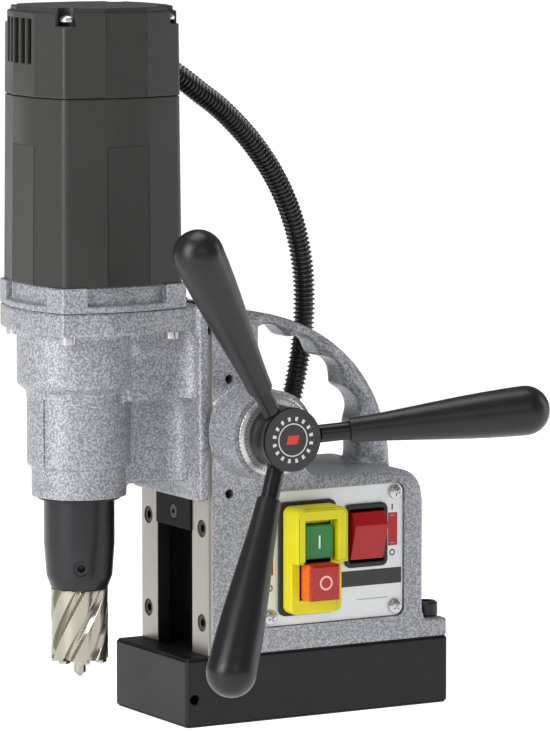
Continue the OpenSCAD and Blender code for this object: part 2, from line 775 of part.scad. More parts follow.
module gland(bore_r, sides) {
    difference() {
        union() {
            cylinder(h = 4.5, d = gland_d, $fn = sides);
            translate([0, 0, 4.5]) cylinder(h = 5.5, d = gland_d - 3);
            translate([0, 0, -5]) cylinder(h = 5, r = bore_r + 0.9);
        }
        translate([0, 0, -5 - cut]) cylinder(h = 16 + cut, r = bore_r);
        translate([0, 0, 5]) cylinder(h = 5 + cut, r = bore_r + 0.6);
    }
}

module cable_inlet() {
    color("#1a1a1c") translate(cable_gland) rotate([0, 90, 0]) difference() {
        union() {
            cylinder(h = 5, d = 22, $fn = 6);
            translate([0, 0, 5]) cylinder(h = 8, d1 = 19, d2 = 15);
            translate([0, 0, -wall - 3]) cylinder(h = wall + 3, d = 15.8);
        }
        translate([0, 0, -wall - 3 - cut]) cylinder(h = 30, d = 8);
    }
}

module box_gland() {
    color("#1a1a1c") translate(conduit_in) gland(conduit_r + 0.1, 6);
}

module conduit() {
    color("#151517") sweep(fine(conduit_route, 2), conduit_r, 12);
}

// Slide, rack and their screws

module slide_block() {
    color("#232326") difference() {
        union() {
            span([wing_x1, -rail_y0 + run_gap, slide_z0], [rail_x1 + 1, rail_y0 - run_gap, case_z1]);
            span([rail_x1 + run_gap, -channel_hw + gib_t + run_gap, slide_z0],
                [slide_back_x, channel_hw - run_gap, case_z1]);
        }
        span([pitch_x - 6, -slide_slot_hw, slide_z0 - cut],
            [slide_back_x + cut, slide_slot_hw, case_z1 + cut]);
        for (y = [-1, 1], z = slide_screw_z) {
            rod_x(y * slide_screw_y, z, wing_x1 - cut, slide_back_x, slide_screw_d / 2 + 0.3);
            rod_x(y * slide_screw_y, z, slide_back_x - 5.2, slide_back_x + cut, slide_screw_d * 0.85);
        }
        for (z = rack_screw_z) rod_x(0, z, wing_x1 - cut, pitch_x, 2.2);
        for (z = rack_screw_z) rod_x(0, z, wing_x1 - cut, wing_x1 + 2.6, 4.1);
    }
}

rack_screw_z = [slide_z0 + 8, slide_z0 + 60, case_z1 - 8];
rack_pitch = PI * rack_m;
rack_play = tooth_play;
module rack() {
    tip_w = rack_pitch / 4 - rack_play - addendum * rack_m * tan(pressure);
    root_w = rack_pitch / 4 - rack_play + dedendum * rack_m * tan(pressure);
    low = ceil((slide_z0 + 3 - shaft_z) / rack_pitch);
    high = floor((case_z1 - 3 - shaft_z) / rack_pitch);
    root = pitch_x - dedendum * rack_m;
    tip = pitch_x + addendum * rack_m;
    color("#8d8f94") difference() {
        across(-slide_slot_hw + 0.1, slide_slot_hw - 0.1) polygon(concat(
            [[pitch_x - 5.9, slide_z0], [root, slide_z0]],
            [for (k = [low:high]) let (z = shaft_z + k * rack_pitch)
                each [[root, z - root_w], [tip, z - tip_w], [tip, z + tip_w], [root, z + root_w]]],
            [[root, case_z1], [pitch_x - 5.9, case_z1]]));
        for (z = rack_screw_z) rod_x(0, z, pitch_x - 7, pitch_x - 2.4, 1.95);
    }
}

module rack_screws() {
    color("#2c2c2e") for (z = rack_screw_z) difference() {
        union() {
            rod_x(0, z, wing_x1 + 0.2, wing_x1 + 2.6, 3.8);
            rod_x(0, z, wing_x1 + 2.6, pitch_x - 2.5, 1.9);
        }
        translate([wing_x1, 0, z]) rotate([0, 90, 0]) cylinder(h = 1.6, d = 3, $fn = 6);
    }
}

module slide_screws() {
    color("#2c2c2e") for (y = [-slide_screw_y, slide_screw_y], z = slide_screw_z) difference() {
        union() {
            rod_x(y, z, wing_x0 - 8, slide_back_x - 5.2, slide_screw_d / 2 - 0.05);
            rod_x(y, z, slide_back_x - 5.2, slide_back_x - 0.4, slide_screw_d * 0.8);
        }
        translate([slide_back_x - 3, y, z]) rotate([0, 90, 0]) cylinder(h = 4, d = 5, $fn = 6);
    }
}

// Gear case and gear plate

module bolt_places() {
    for (x = [-1, 1], y = [-1, 1]) translate([motor_x + x * bolt_c, y * bolt_c, 0]) children();
}

// A web from the spindle to the wing, with a hollow fillet where it meets the wing
module web_outline(hw, r) {
    translate([spindle_x, -hw]) square([wing_x0 - spindle_x + 1, 2 * hw]);
    for (s = [-1, 1]) difference() {
        translate([wing_x0 - r, s > 0 ? hw : -hw - r]) square([r + 1, r]);
        translate([wing_x0 - r, s * (hw + r)]) circle(r);
    }
}

module gear_case() {
    color("#a9acb2") difference() {
        union() {
            translate([spindle_x, 0, case_z0]) {
                cylinder(h = nose_h + cut, d = nose_d);
                translate([0, 0, nose_h]) cylinder(h = waist_z1 - case_z0 - nose_h, d = waist_d);
                translate([0, 0, waist_z1 - case_z0]) cylinder(h = bay_z0 - waist_z1, d1 = waist_d,
                    d2 = gear_bay_d);
                translate([0, 0, bay_z0 - case_z0]) cylinder(h = flange_z0 - bay_z0 + cut, d = gear_bay_d);
            }
            translate([motor_x, 0, flange_z0]) linear_extrude(case_flange_t)
                polygon(bulged(flange_corner, flange_mid));
            // Wing with rounded corners, and its webs
            translate([wing_x0, 0, (wing_z0 + case_z1) / 2]) rotate([90, 0, 90])
                linear_extrude(wing_t) round_rect(2 * wing_hw, case_z1 - wing_z0, wing_r);
            translate([wing_x0, 0, flange_z0 + case_flange_t / 2]) rotate([90, 0, 90])
                linear_extrude(wing_t) square([2 * wing_hw - 1, case_flange_t], center = true);
            translate([motor_x, -flange_corner, flange_z0])
                cube([wing_x1 - motor_x, 2 * flange_corner, case_flange_t]);
            translate([0, 0, web_z0]) linear_extrude(block_z0 - web_z0 + cut)
                web_outline(web_hw, block_r);
            translate([0, 0, block_z0]) linear_extrude(flange_z0 - block_z0 + cut)
                intersection() {
                    web_outline(block_hw, block_r);
                    translate([spindle_x + 14, -wing_hw]) square([100, 2 * wing_hw]);
                }
        }
        // Bores on the spindle's axis, from the seal up to the gear bay
        translate([spindle_x, 0, case_z0]) {
            translate([0, 0, -cut]) cylinder(h = seal_t + 1 + cut, d = bearing_od - 2);
            translate([0, 0, seal_t + 1]) cylinder(h = lower_bearing_t, d = bearing_od);
            translate([0, 0, seal_t]) cylinder(h = case_h, d = spindle_d + 4);
            translate([0, 0, upper_bearing_z - case_z0]) cylinder(h = case_h, d = upper_bearing_od);
            translate([0, 0, slow_bay_z - case_z0]) cylinder(h = case_h, r = slow_bay_r);
        }
        // Bearing seat and bays of the intermediate shaft
        translate([inter_x, 0, slow_bay_z - inter_bearing_t]) cylinder(h = case_h, r = inter_bay_r);
        translate([inter_x, 0, fast_bay_z]) cylinder(h = case_h, r = fast_m * fast_n[1] / 2 + 1.5);
        // Holes and spot faces of the flange bolts, holes of the slide screws
        bolt_places() {
            translate([0, 0, flange_z0 - 9]) cylinder(h = 9, r = 5.2);
            translate([0, 0, flange_z0 - cut]) cylinder(h = case_flange_t + 2 * cut, d = bolt_d + 0.5);
        }
        for (y = [-1, 1], z = slide_screw_z)
            rod_x(y * slide_screw_y, z, wing_x0 - 9, wing_x1 + cut, slide_screw_d / 2);
    }
}

module oil_seal() {
    color("#1d1d1f") translate([spindle_x, 0, case_z0 + 0.6])
        ring(bearing_od / 2 - 1.02, seal_d / 2 + run_gap, seal_t);
}

module bearing(r_out, r_in, h) {
    // Outer and inner race with the balls' shield between them, drawn as one stepped ring
    difference() {
        ring(r_out, r_in, h);
        for (z = [-cut, h - 0.5]) translate([0, 0, z]) ring(r_out - (r_out - r_in) * 0.25,
            r_in + (r_out - r_in) * 0.25, cut + 0.5);
    }
}

module spindle_bearings() {
    color("#b8bcc2") translate([spindle_x, 0, 0]) {
        translate([0, 0, lower_bearing_z]) bearing(bearing_od / 2, spindle_d / 2 + run_gap,
            lower_bearing_t);
        translate([0, 0, upper_bearing_z]) bearing(upper_bearing_od / 2, spindle_top_d / 2 + run_gap,
            upper_bearing_t);
    }
}

module intermediate_bearings() {
    color("#b8bcc2") translate([inter_x, 0, 0]) {
        translate([0, 0, slow_bay_z - inter_bearing_t]) bearing(inter_bearing_od / 2,
            inter_d / 2 + run_gap, inter_bearing_t);
        translate([0, 0, case_z1 + 0.5]) bearing(inter_bearing_od / 2, inter_d / 2 + run_gap,
            inter_bearing_t);
    }
}

plate_floor = 8;
motor_bearing = [26, 8];
motor_bearing_z = case_z1 + inter_bearing_t + 1;
cap_bearing = [22, 7];
module gear_plate() {
    color("#a9acb2") translate([motor_x, 0, case_z1]) difference() {
        union() {
            linear_extrude(3.5) polygon(bulged(flange_corner, flange_mid));
            linear_extrude(plate_h) polygon(bulged(flange_corner - 4, flange_mid - 4));
            linear_extrude(plate_h) intersection() {
                polygon(bulged(flange_corner, flange_mid));
                for (x = [-1, 1], y = [-1, 1]) translate([x * flange_corner, y * flange_corner])
                    square(26, center = true);
            }
        }
        translate([0, 0, plate_floor]) difference() {
            cylinder(h = plate_h, r = motor_mid - 7);
            translate([0, 0, -cut]) cylinder(h = motor_bearing_z + motor_bearing[1] - case_z1
                - plate_floor + cut, d = motor_bearing[0] + 6);
        }
        translate([0, 0, motor_bearing_z - case_z1]) cylinder(h = plate_h, d = motor_bearing[0] + 0.02);
        translate([0, 0, -cut]) cylinder(h = plate_h, d = armature_d + 2);
        translate([inter_x - motor_x, 0, -cut])
            cylinder(h = inter_bearing_t + 0.5 + cut, d = inter_bearing_od);
        for (x = [-1, 1], y = [-1, 1]) translate([x * bolt_c, y * bolt_c, -cut])
            cylinder(h = plate_h + 2 * cut, d = bolt_d);
    }
}

module flange_bolts() {
    color("#d4d5d8") bolt_places() difference() {
        union() {
            translate([0, 0, flange_z0 - 4]) cylinder(h = 4, d = 8.6);
            translate([0, 0, flange_z0]) cylinder(h = case_flange_t + plate_h + 7, d = bolt_d - 0.1);
        }
        translate([0, 0, flange_z0 - 4 - cut]) cylinder(h = 2.6 + cut, d = 4.6, $fn = 6);
    }
}

// Motor

// Share that a section's size keeps at height z of the motor
function draft(z) = 1 - motor_draft * (z - plate_z1) / (cap_z1 - plate_z1);

module motor_solid(z0, z1, trim) {
    translate([motor_x, 0, z0]) linear_extrude(z1 - z0, scale = draft(z1) / draft(z0))
        polygon(bulged((motor_corner - trim) * draft(z0), (motor_mid - trim) * draft(z0)));
}

motor_post = motor_corner - 6;
module motor_posts(z0, z1, r) {
    for (x = [-1, 1], y = [-1, 1]) translate([motor_x + x * motor_post, y * motor_post, z0])
        cylinder(h = z1 - z0, r = r);
}

module motor_shell() {
    color("#3a3a3c") difference() {
        motor_solid(plate_z1, shell_z1 - 0.3, 0);
        difference() {
            motor_solid(plate_z1 - cut, shell_z1 + cut, shell_wall);
            motor_posts(plate_z1 - 2 * cut, shell_z1 + 2 * cut, 5);
        }
        for (x = [-1, 1], y = [-1, 1]) translate([motor_x + x * bolt_c, y * bolt_c, plate_z1 - cut])
            cylinder(h = 10 + cut, d = bolt_d);
        motor_posts(shell_z1 - 16, shell_z1 + cut, 1.9);
    }
}

vent_z0 = shell_z1 + 17;
vent_h = 23;
vent_y0 = -8;
vent_pitch = 7.2;
module motor_cap() {
    color("#3a3a3c") difference() {
        union() {
            motor_solid(shell_z1, cap_z1 - 2.5, 0);
            motor_solid(cap_z1 - 3, cap_z1, 1.6);
        }
        difference() {
            motor_solid(shell_z1 - cut, cap_z1 - 3, shell_wall);
            motor_posts(shell_z1 - 2 * cut, cap_z1, 5.5);
            translate([motor_x, 0, armature_top_z - cap_bearing[1] - 1]) {
                cylinder(h = 40, d = cap_bearing[0] + 5);
                translate([-motor_mid, -3, 3]) cube([2 * motor_mid, 6, 40]);
            }
        }
        translate([motor_x, 0, armature_top_z - cap_bearing[1] - 1 - cut])
            cylinder(h = cap_bearing[1] + 2 + cut, d = cap_bearing[0]);
        // Screw wells in the corners
        motor_posts(cap_z1 - 9, cap_z1 + cut, 3.9);
        motor_posts(shell_z1 - cut, cap_z1, 2.2);
        for (x = [-1, 1], y = [-1, 1]) translate([motor_x + x * (motor_corner), y * motor_corner,
            cap_z1 - 9]) cylinder(h = 10, r = 5.2);
        for (side = [0, 1], k = [0:vent_count - 1]) translate([motor_x, 0, 0]) mirror([side, 0, 0])
            span([-motor_mid - cut, vent_y0 + k * vent_pitch, vent_z0],
                [-motor_corner + 2, vent_y0 + k * vent_pitch + 4.4, vent_z0 + vent_h]);
        rod_x(conduit_out.y, conduit_out.z, motor_x + 20, motor_x + motor_mid + cut, conduit_r + 1.2);
    }
}

module cap_screws() {
    color("#cfd0d2") for (x = [-1, 1], y = [-1, 1])
        translate([motor_x + x * motor_post, y * motor_post, 0]) difference() {
            union() {
                translate([0, 0, cap_z1 - 9]) cylinder(h = 2.4, r = 3.6);
                translate([0, 0, shell_z1 - 14]) cylinder(h = cap_h + 5, r = 1.85);
            }
            for (a = [15, 105]) translate([0, 0, cap_z1 - 6.6]) rotate(a)
                cube([4.4, 0.9, 2.4], center = true);
        }
}

module motor_bearings() {
    color("#b8bcc2") translate([motor_x, 0, 0]) {
        translate([0, 0, motor_bearing_z])
            bearing(motor_bearing[0] / 2, armature_d / 2 + run_gap, motor_bearing[1]);
        translate([0, 0, armature_top_z - cap_bearing[1]])
            bearing(cap_bearing[0] / 2, armature_d / 2 - 1 + run_gap, cap_bearing[1]);
    }
}

core_z0 = plate_z1 + 24;
core_h = 46;
core_r = 18;
module stator() {
    color("#7c7f85") translate([motor_x, 0, core_z0]) {
        difference() {
            intersection() {
                cylinder(h = core_h, r = 33.5);
                translate([-33.5, -29, 0]) cube([67, 58, core_h]);
            }
            translate([0, 0, -cut]) cylinder(h = core_h + 2 * cut, r = core_r + 1);
            for (s = [-1, 1]) translate([-14, s * 22 - 4, -cut]) cube([28, 8, core_h + 2 * cut]);
        }
        // Field windings
        for (s = [-1, 1]) translate([-13.9, s * 22 - 3.9, -6]) cube([27.8, 7.8, core_h + 12]);
    }
}

commutator_z0 = core_z0 + core_h + 9;
commutator_h = 15;
commutator_r = 13;
module brush_holders() {
    color("#2b2b2e") for (s = [-1, 1]) translate([motor_x, 0, commutator_z0 + 3]) difference() {
        translate([s > 0 ? commutator_r + 1.5 : -motor_corner + 1.4, -6, -2])
            cube([motor_corner - commutator_r - 2.9, 12, 13]);
        translate([s > 0 ? commutator_r : -motor_corner, -3.1, 0.9])
            cube([motor_corner - commutator_r, 6.2, 7.2]);
    }
}

module carbon_brushes() {
    color("#3f3f42") for (s = [-1, 1]) translate([motor_x, 0, commutator_z0 + 4])
        translate([s > 0 ? commutator_r + 0.15 : -commutator_r - 15.15, -3, 0]) cube([15, 6, 7]);
}

module motor_gland() {
    color("#1a1a1c") translate(conduit_out) rotate([0, 90, 0]) gland(conduit_r + 0.1, 48);
}

module armature() {
    color("#84878d") translate([motor_x, 0, 0]) {
        translate([0, 0, armature_tip_z]) linear_extrude(fast_t + 3)
            polygon(gear_outline(fast_n[0], fast_m));
        translate([0, 0, armature_tip_z + fast_t + 3])
            cylinder(h = 3, d = armature_d - 2);
        translate([0, 0, armature_tip_z + fast_t + 5])
            cylinder(h = armature_top_z - armature_tip_z - fast_t - 5 - 9, d = armature_d);
        translate([0, 0, armature_top_z - 10]) cylinder(h = 10, d = armature_d - 2);
        difference() {
            translate([0, 0, core_z0]) cylinder(h = core_h, r = core_r);
            for (k = [0:11]) rotate(30 * k) translate([core_r - 4, -1, core_z0 - cut])
                cube([5, 2, core_h + 2 * cut]);
        }
        for (z = [core_z0 - 7, core_z0 + core_h]) translate([0, 0, z]) cylinder(h = 7, r = core_r - 3);
    }
}

module commutator() {
    color("#b9713a") translate([motor_x, 0, commutator_z0]) difference() {
        ring(commutator_r, armature_d / 2, commutator_h);
        for (k = [0:23]) rotate(15 * k) translate([commutator_r - 1, -0.25, 2])
            cube([2, 0.5, commutator_h]);
    }
}

fan_r = 28;
module cooling_fan() {
    color("#e3e0d6") translate([motor_x, 0, plate_z1 + 3]) {
        ring(fan_r, armature_d / 2, 2);
        ring(9, armature_d / 2, 10);
        for (k = [0:10]) rotate(k * 360 / 11) translate([8.5, -0.8, 1.5]) cube([fan_r - 9, 1.6, 8.5]);
    }
}

module intermediate_gears() {
    color("#8f9196") translate([inter_x, 0, 0]) {
        translate([0, 0, fast_z]) linear_extrude(fast_t) rotate(180 - 180 / fast_n[1])
            polygon(gear_outline(fast_n[1], fast_m));
        translate([0, 0, slow_z - 1]) linear_extrude(slow_t + 2) rotate(180)
            polygon(gear_outline(slow_n[0], slow_m));
        translate([0, 0, slow_bay_z - inter_bearing_t + 0.3])
            cylinder(h = case_z1 + inter_bearing_t - slow_bay_z + inter_bearing_t - 0.6, d = inter_d);
    }
}

// Spindle, cutter and pilot pin

module at_spindle() { translate([spindle_x, 0, 0]) children(); }

module spindle() {
    color("#232326") at_spindle() difference() {
        union() {
            translate([0, 0, sleeve_z0]) cylinder(h = 7, d1 = sleeve_d - 7.5, d2 = sleeve_d - 2.4);
            translate([0, 0, sleeve_z0 + 7]) cylinder(h = 17, d1 = sleeve_d - 2.4, d2 = sleeve_d);
            translate([0, 0, sleeve_z0 + 24]) cylinder(h = sleeve_z1 - sleeve_z0 - 24, d = sleeve_d);
            translate([0, 0, sleeve_z1]) cylinder(h = 1.5, d = sleeve_d + 6.4);
            translate([0, 0, sleeve_z1]) cylinder(h = lower_bearing_z - sleeve_z1, d = seal_d);
            translate([0, 0, lower_bearing_z - 1]) cylinder(h = upper_bearing_z - lower_bearing_z,
                d = spindle_d);
            translate([0, 0, upper_bearing_z - 2]) cylinder(h = spindle_z1 - upper_bearing_z + 2,
                d = spindle_top_d);
        }
        translate([0, 0, sleeve_z0 - cut]) cylinder(h = shank_l + 1 + cut, d = shank_d + 0.04);
        translate([0, 0, shank_z1]) cylinder(h = spring_top_z - shank_z1, d = pilot_bore_d);
        for (a = [0, 180]) rotate(set_screw_turn + a) translate([0, 0, set_screw_z])
            rotate([0, 90, 0]) cylinder(h = sleeve_d, d = set_screw_d);
    }
}

module spindle_gear() {
    color("#8f9196") at_spindle() translate([0, 0, slow_z]) difference() {
        linear_extrude(slow_t) rotate(180 / slow_n[1]) polygon(gear_outline(slow_n[1], slow_m));
        translate([0, 0, -cut]) cylinder(h = slow_t + 2 * cut, d = spindle_top_d);
        for (k = [0:5]) rotate(60 * k) translate([15.5, 0, -cut]) cylinder(h = slow_t + 2 * cut, r = 3.5);
    }
}

module set_screws() {
    color("#3a3a3d") at_spindle() for (a = [0, 180]) rotate(set_screw_turn + a)
        translate([shank_d / 2 - 0.9, 0, set_screw_z]) rotate([0, 90, 0]) difference() {
            cylinder(h = sleeve_d / 2 - shank_d / 2 - 0.6, d = set_screw_d - 0.05);
            translate([0, 0, 3]) cylinder(h = 12, d = 4.6, $fn = 6);
        }
}

// Section of the cutter: flutes cut into the outside, a round core inside
flute_twist = -80;
module cutter() {
    color("#c9c2ad") at_spindle() {
        difference() {
            translate([0, 0, sleeve_z0 - 2]) cylinder(h = shank_l + 2, d = shank_d);
            translate([0, 0, sleeve_z0 - 2 - cut]) cylinder(h = shank_l + 4, d = pilot_d + 0.12);
            for (a = [0, 180]) rotate(set_screw_turn + a) translate([shank_d / 2 - 1, -6, set_screw_z - 6])
                cube([2, 12, 12]);
        }
        difference() {
            translate([0, 0, cutter_z0 + 1.5])
                linear_extrude(cutter_l - 1.55, twist = flute_twist, slices = 20)
                flute_section();
            translate([0, 0, cutter_z0 - cut])
                cylinder(h = core_z1 - cutter_z0 + cut, r = cutter_d / 2 - cutter_wall);
            translate([0, 0, core_z1 - cut]) cylinder(h = 12, d = pilot_d + 0.12);
        }
        // Cutting teeth round the mouth
        for (k = [0:flutes - 1]) rotate(k * 360 / flutes) rotate([0, 0, 6]) intersection() {
            translate([cutter_d / 2 - cutter_wall + 0.05, -4.6, cutter_z0])
                cube([cutter_wall - 0.35, 5, 1.6]);
            translate([0, 0, cutter_z0]) ring(cutter_d / 2 - 0.2, cutter_d / 2 - cutter_wall, 1.6);
        }
    }
}

module flute_section() {
    difference() {
        circle(cutter_d / 2, $fn = 56);
        for (k = [0:flutes - 1]) rotate(k * 360 / flutes)
            polygon([[cutter_d / 2 - 2.6, 0.2], [cutter_d / 2 + 1, -0.4], [cutter_d / 2 + 1, 6.6],
                [cutter_d / 2 - 1.4, 5.2], [cutter_d / 2 - 2.5, 3]]);
    }
}

module pilot_pin() {
    color("#c4bfb0") at_spindle() {
        translate([0, 0, cutter_z0 - pilot_tip]) cylinder(h = 2.5, d1 = 1, d2 = pilot_d);
        translate([0, 0, cutter_z0 - pilot_tip + 2.5])
            cylinder(h = shank_z1 + 0.3 - cutter_z0 + pilot_tip - 2.5, d = pilot_d);
        translate([0, 0, shank_z1 + 0.3]) cylinder(h = pilot_head_t, d = pilot_head_d);
    }
}

spring_wire = 0.7;
spring_turns = 9;
module ejector_spring() {
    z0 = shank_z1 + 0.3 + pilot_head_t + spring_wire + 0.1;
    z1 = spring_top_z - spring_wire - 0.1;
    r = pilot_head_d / 2 - spring_wire;
    steps = 12 * spring_turns;
    color("#9a9da2") at_spindle() coil([for (k = [0:steps])
        [r * cos(30 * k), r * sin(30 * k), z0 + (z1 - z0) * k / steps]], spring_wire, 6);
}

// A wire along a helix about Z
module coil(route, r, sides) {
    last = len(route) - 1;
    points = [for (i = [0:last]) let (out = unit([route[i].x, route[i].y, 0]))
        for (k = [0:sides - 1]) route[i] + r * (cos(k * 360 / sides) * out
            + sin(k * 360 / sides) * [0, 0, 1])];
    walls = [for (i = [0:last - 1], k = [0:sides - 1]) let (a = i * sides, n = (k + 1) % sides)
        [a + k, a + sides + k, a + sides + n, a + n]];
    polyhedron(points, concat(walls, [[for (k = [0:sides - 1]) k]],
        [[for (k = [sides - 1:-1:0]) last * sides + k]]), convexity = 20);
}

// Feed lever

module pinion_shaft() {
    color("#9b9da2") {
        difference() {
            rod_y(shaft_x, shaft_z, hub_y1, rear_boss_y + 5, shaft_r);
            translate([shaft_x, rear_boss_y + 2.3, shaft_z]) rotate([90, 0, 0])
                ring(shaft_r + cut, shaft_r - 0.8, 1.2);
        }
        rod_y(shaft_x, shaft_z, hub_y0 + 1, hub_y1, hub_bore_r);
        translate([shaft_x, pinion_hw, shaft_z]) rotate([90, 0, 0]) linear_extrude(2 * pinion_hw)
            rotate(180 - 180 / pinion_teeth) polygon(gear_outline(pinion_teeth, rack_m));
    }
}

module shaft_circlip() {
    color("#2c2c2e") translate([shaft_x, rear_boss_y + 2.2, shaft_z]) rotate([90, 0, 0]) difference() {
        ring(shaft_r + 2.6, shaft_r - 0.7, 1);
        translate([0, -1.5, -cut]) cube([20, 3, 4]);
    }
}

module scale_ring() {
    color("#c8cacd") translate([shaft_x, boss_y - apart, shaft_z]) rotate([90, 0, 0]) difference() {
        union() {
            cylinder(h = scale_t * 0.45, r = scale_r);
            translate([0, 0, scale_t * 0.45]) cylinder(h = scale_t * 0.55, r1 = scale_r, r2 = scale_r - 2.4);
        }
        translate([0, 0, -cut]) cylinder(h = scale_t + 2 * cut, r = shaft_r + run_gap);
    }
}

// Places its children with +Z along an arm of the lever, the shaft's axis at the origin
module along_arm(k) {
    translate([shaft_x, arm_y, shaft_z]) rotate([0, -arm_start - k * 360 / arm_count, 0])
        rotate([0, 0, -arm_lean]) rotate([0, 90, 0]) children();
}

module lever_hub() {
    color("#1d1d1f") difference() {
        rod_y(shaft_x, shaft_z, hub_y0, hub_y1, hub_r);
        rod_y(shaft_x, shaft_z, hub_y0 - cut, hub_y1 + cut, hub_bore_r + 0.02);
        for (k = [0:arm_count - 1]) along_arm(k)
            translate([0, 0, rod_in_hub]) cylinder(h = hub_r, d = rod_d);
    }
}

module hub_cap() {
    color("#161617") {
        rod_y(shaft_x, shaft_z, hub_y0 - 2.4, hub_y0, hub_r + 0.2);
        rod_y(shaft_x, shaft_z, hub_y0 - cap_front_t, hub_y0 - 2.4, hub_r - 2.6, hub_r + 0.2);
    }
}

module lever_rods() {
    color("#141415") difference() {
        for (k = [0:arm_count - 1]) along_arm(k)
            translate([0, 0, rod_in_hub]) cylinder(h = grip_s0 + rod_in_grip - rod_in_hub, d = rod_d - 0.02);
        rod_y(shaft_x, shaft_z, hub_y0 - cap_front_t, hub_y0, hub_r + 1);
    }
}

grip_side = [[6.4, grip_s0], [7.2, grip_s0 + 27], [grip_d / 2 - 0.8, grip_s1 - 37], [grip_d / 2, grip_s1]];
module lever_grips() {
    end_r = grip_d / 2;
    color("#1b1b1c") for (k = [0:arm_count - 1]) along_arm(k) difference() {
        rotate_extrude() polygon(concat([[0, grip_s0]], [for (i = [0:10]) bezier(grip_side, i / 10)],
            [for (a = [10:10:90]) [end_r * cos(a), grip_s1 + end_r * sin(a)]]));
        translate([0, 0, grip_s0 - cut]) cylinder(h = rod_in_grip + cut, d = rod_d);
    }
}

magnet_body();
magnet_coil();
magnet_potting();
frame_screws();
frame_casting();
rail_left();
rail_right();
rail_screws();
gib_strip();
gib_screws();
shaft_bushes();
front_panel();
rear_cover();
panel_screws();
switch_gasket();
switch_housing();
switch_block();
start_button();
stop_button();
magnet_switch();
magnet_rocker();
circuit_board();
cable_inlet();
box_gland();
conduit();
slide_block();
rack();
rack_screws();
slide_screws();
gear_case();
gear_plate();
flange_bolts();
oil_seal();
spindle_bearings();
intermediate_bearings();
motor_shell();
motor_cap();
cap_screws();
motor_bearings();
stator();
brush_holders();
carbon_brushes();
motor_gland();
armature();
commutator();
cooling_fan();
intermediate_gears();
spindle();
spindle_gear();
set_screws();
cutter();
pilot_pin();
ejector_spring();
pinion_shaft();
shaft_circlip();
scale_ring();
lever_hub();
hub_cap();
lever_rods();
lever_grips();
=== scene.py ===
import json
import math

import bmesh
import bpy
import numpy as np
from mathutils import Matrix, Vector


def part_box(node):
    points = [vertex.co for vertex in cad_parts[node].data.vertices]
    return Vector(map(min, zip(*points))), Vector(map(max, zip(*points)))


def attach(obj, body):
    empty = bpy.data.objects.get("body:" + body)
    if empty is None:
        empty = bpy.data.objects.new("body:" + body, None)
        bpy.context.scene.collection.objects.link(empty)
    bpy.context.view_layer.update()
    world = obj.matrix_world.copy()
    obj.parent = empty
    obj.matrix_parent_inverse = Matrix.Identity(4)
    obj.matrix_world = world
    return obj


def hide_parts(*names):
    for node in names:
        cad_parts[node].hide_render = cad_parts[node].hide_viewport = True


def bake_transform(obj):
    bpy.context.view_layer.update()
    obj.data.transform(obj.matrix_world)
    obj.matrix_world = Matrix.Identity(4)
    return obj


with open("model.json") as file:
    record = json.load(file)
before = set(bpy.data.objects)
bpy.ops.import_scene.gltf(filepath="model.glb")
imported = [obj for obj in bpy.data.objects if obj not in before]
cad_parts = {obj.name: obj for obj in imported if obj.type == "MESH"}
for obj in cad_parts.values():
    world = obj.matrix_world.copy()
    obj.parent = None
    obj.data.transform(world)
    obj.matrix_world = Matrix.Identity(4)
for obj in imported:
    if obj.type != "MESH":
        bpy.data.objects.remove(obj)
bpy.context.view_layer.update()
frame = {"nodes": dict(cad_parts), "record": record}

nodes = frame["nodes"]
body_of = {n: b for b, ns in frame["record"]["behaviour"]["bodies"].items() for n in ns}
mm = 0.001


# ---- Studio ----
# A long lens a little above the machine and to the left of its controls, a pale floor that runs
# back to a pale sky, and four soft lamps: the main one on the left, a broad one overhead, and two
# weak ones in front and on the right.

scene = bpy.context.scene
scene.view_settings.view_transform = "Standard"
camera_down = 6.718
camera_turn = 29.685
light_strength = 0.22
sky_strength = 1.05
floor_glow = 0.95
reach = 40


def placed(name, data):
    """A new object that holds some data, in the scene at the origin."""
    made = bpy.data.objects.new(name, data)
    scene.collection.objects.link(made)
    return made


lens = bpy.data.cameras.new("studio_camera")
lens.lens = 253.9
lens.sensor_width = 36
lens.clip_end = 50
camera = placed("studio_camera", lens)
camera.location = (-1.3532, -2.3664, 0.5036)
camera.rotation_euler = (math.radians(90 - camera_down), 0, math.radians(-camera_turn))
scene.camera = camera


def lamp(name, place, target, size, watts):
    """A rectangular area lamp that faces its target."""
    data = bpy.data.lights.new(name, "AREA")
    data.shape = "RECTANGLE"
    data.size, data.size_y = size
    data.energy = watts
    made = placed(name, data)
    made.location = place
    made.rotation_euler = (Vector(target) - Vector(place)).to_track_quat("-Z", "Y").to_euler()


lamp("key_lamp", (-1.35, -0.35, 0.75), (-0.05, 0, 0.2), (0.7, 1.1), 20)
lamp("front_lamp", (-0.35, -1.7, 0.95), (0, 0, 0.15), (1.0, 0.7), 2.8)
lamp("top_lamp", (-0.1, 0.1, 1.5), (-0.05, 0, 0.2), (1.0, 0.8), 9)
lamp("rim_lamp", (1.2, -0.3, 0.5), (0, 0, 0.15), (0.35, 0.9), 3)

world = bpy.data.worlds.new("studio_air")
world.use_nodes = True
air = world.node_tree
background = next(n for n in air.nodes if n.type == "BACKGROUND")
path = air.nodes.new("ShaderNodeLightPath")
air_mix = air.nodes.new("ShaderNodeMix")
air_mix.inputs[2].default_value = light_strength
air_mix.inputs[3].default_value = sky_strength
air.links.new(path.outputs["Is Camera Ray"], air_mix.inputs[0])
air.links.new(air_mix.outputs[0], background.inputs["Strength"])
background.inputs["Color"].default_value = (1, 1, 1, 1)
scene.world = world

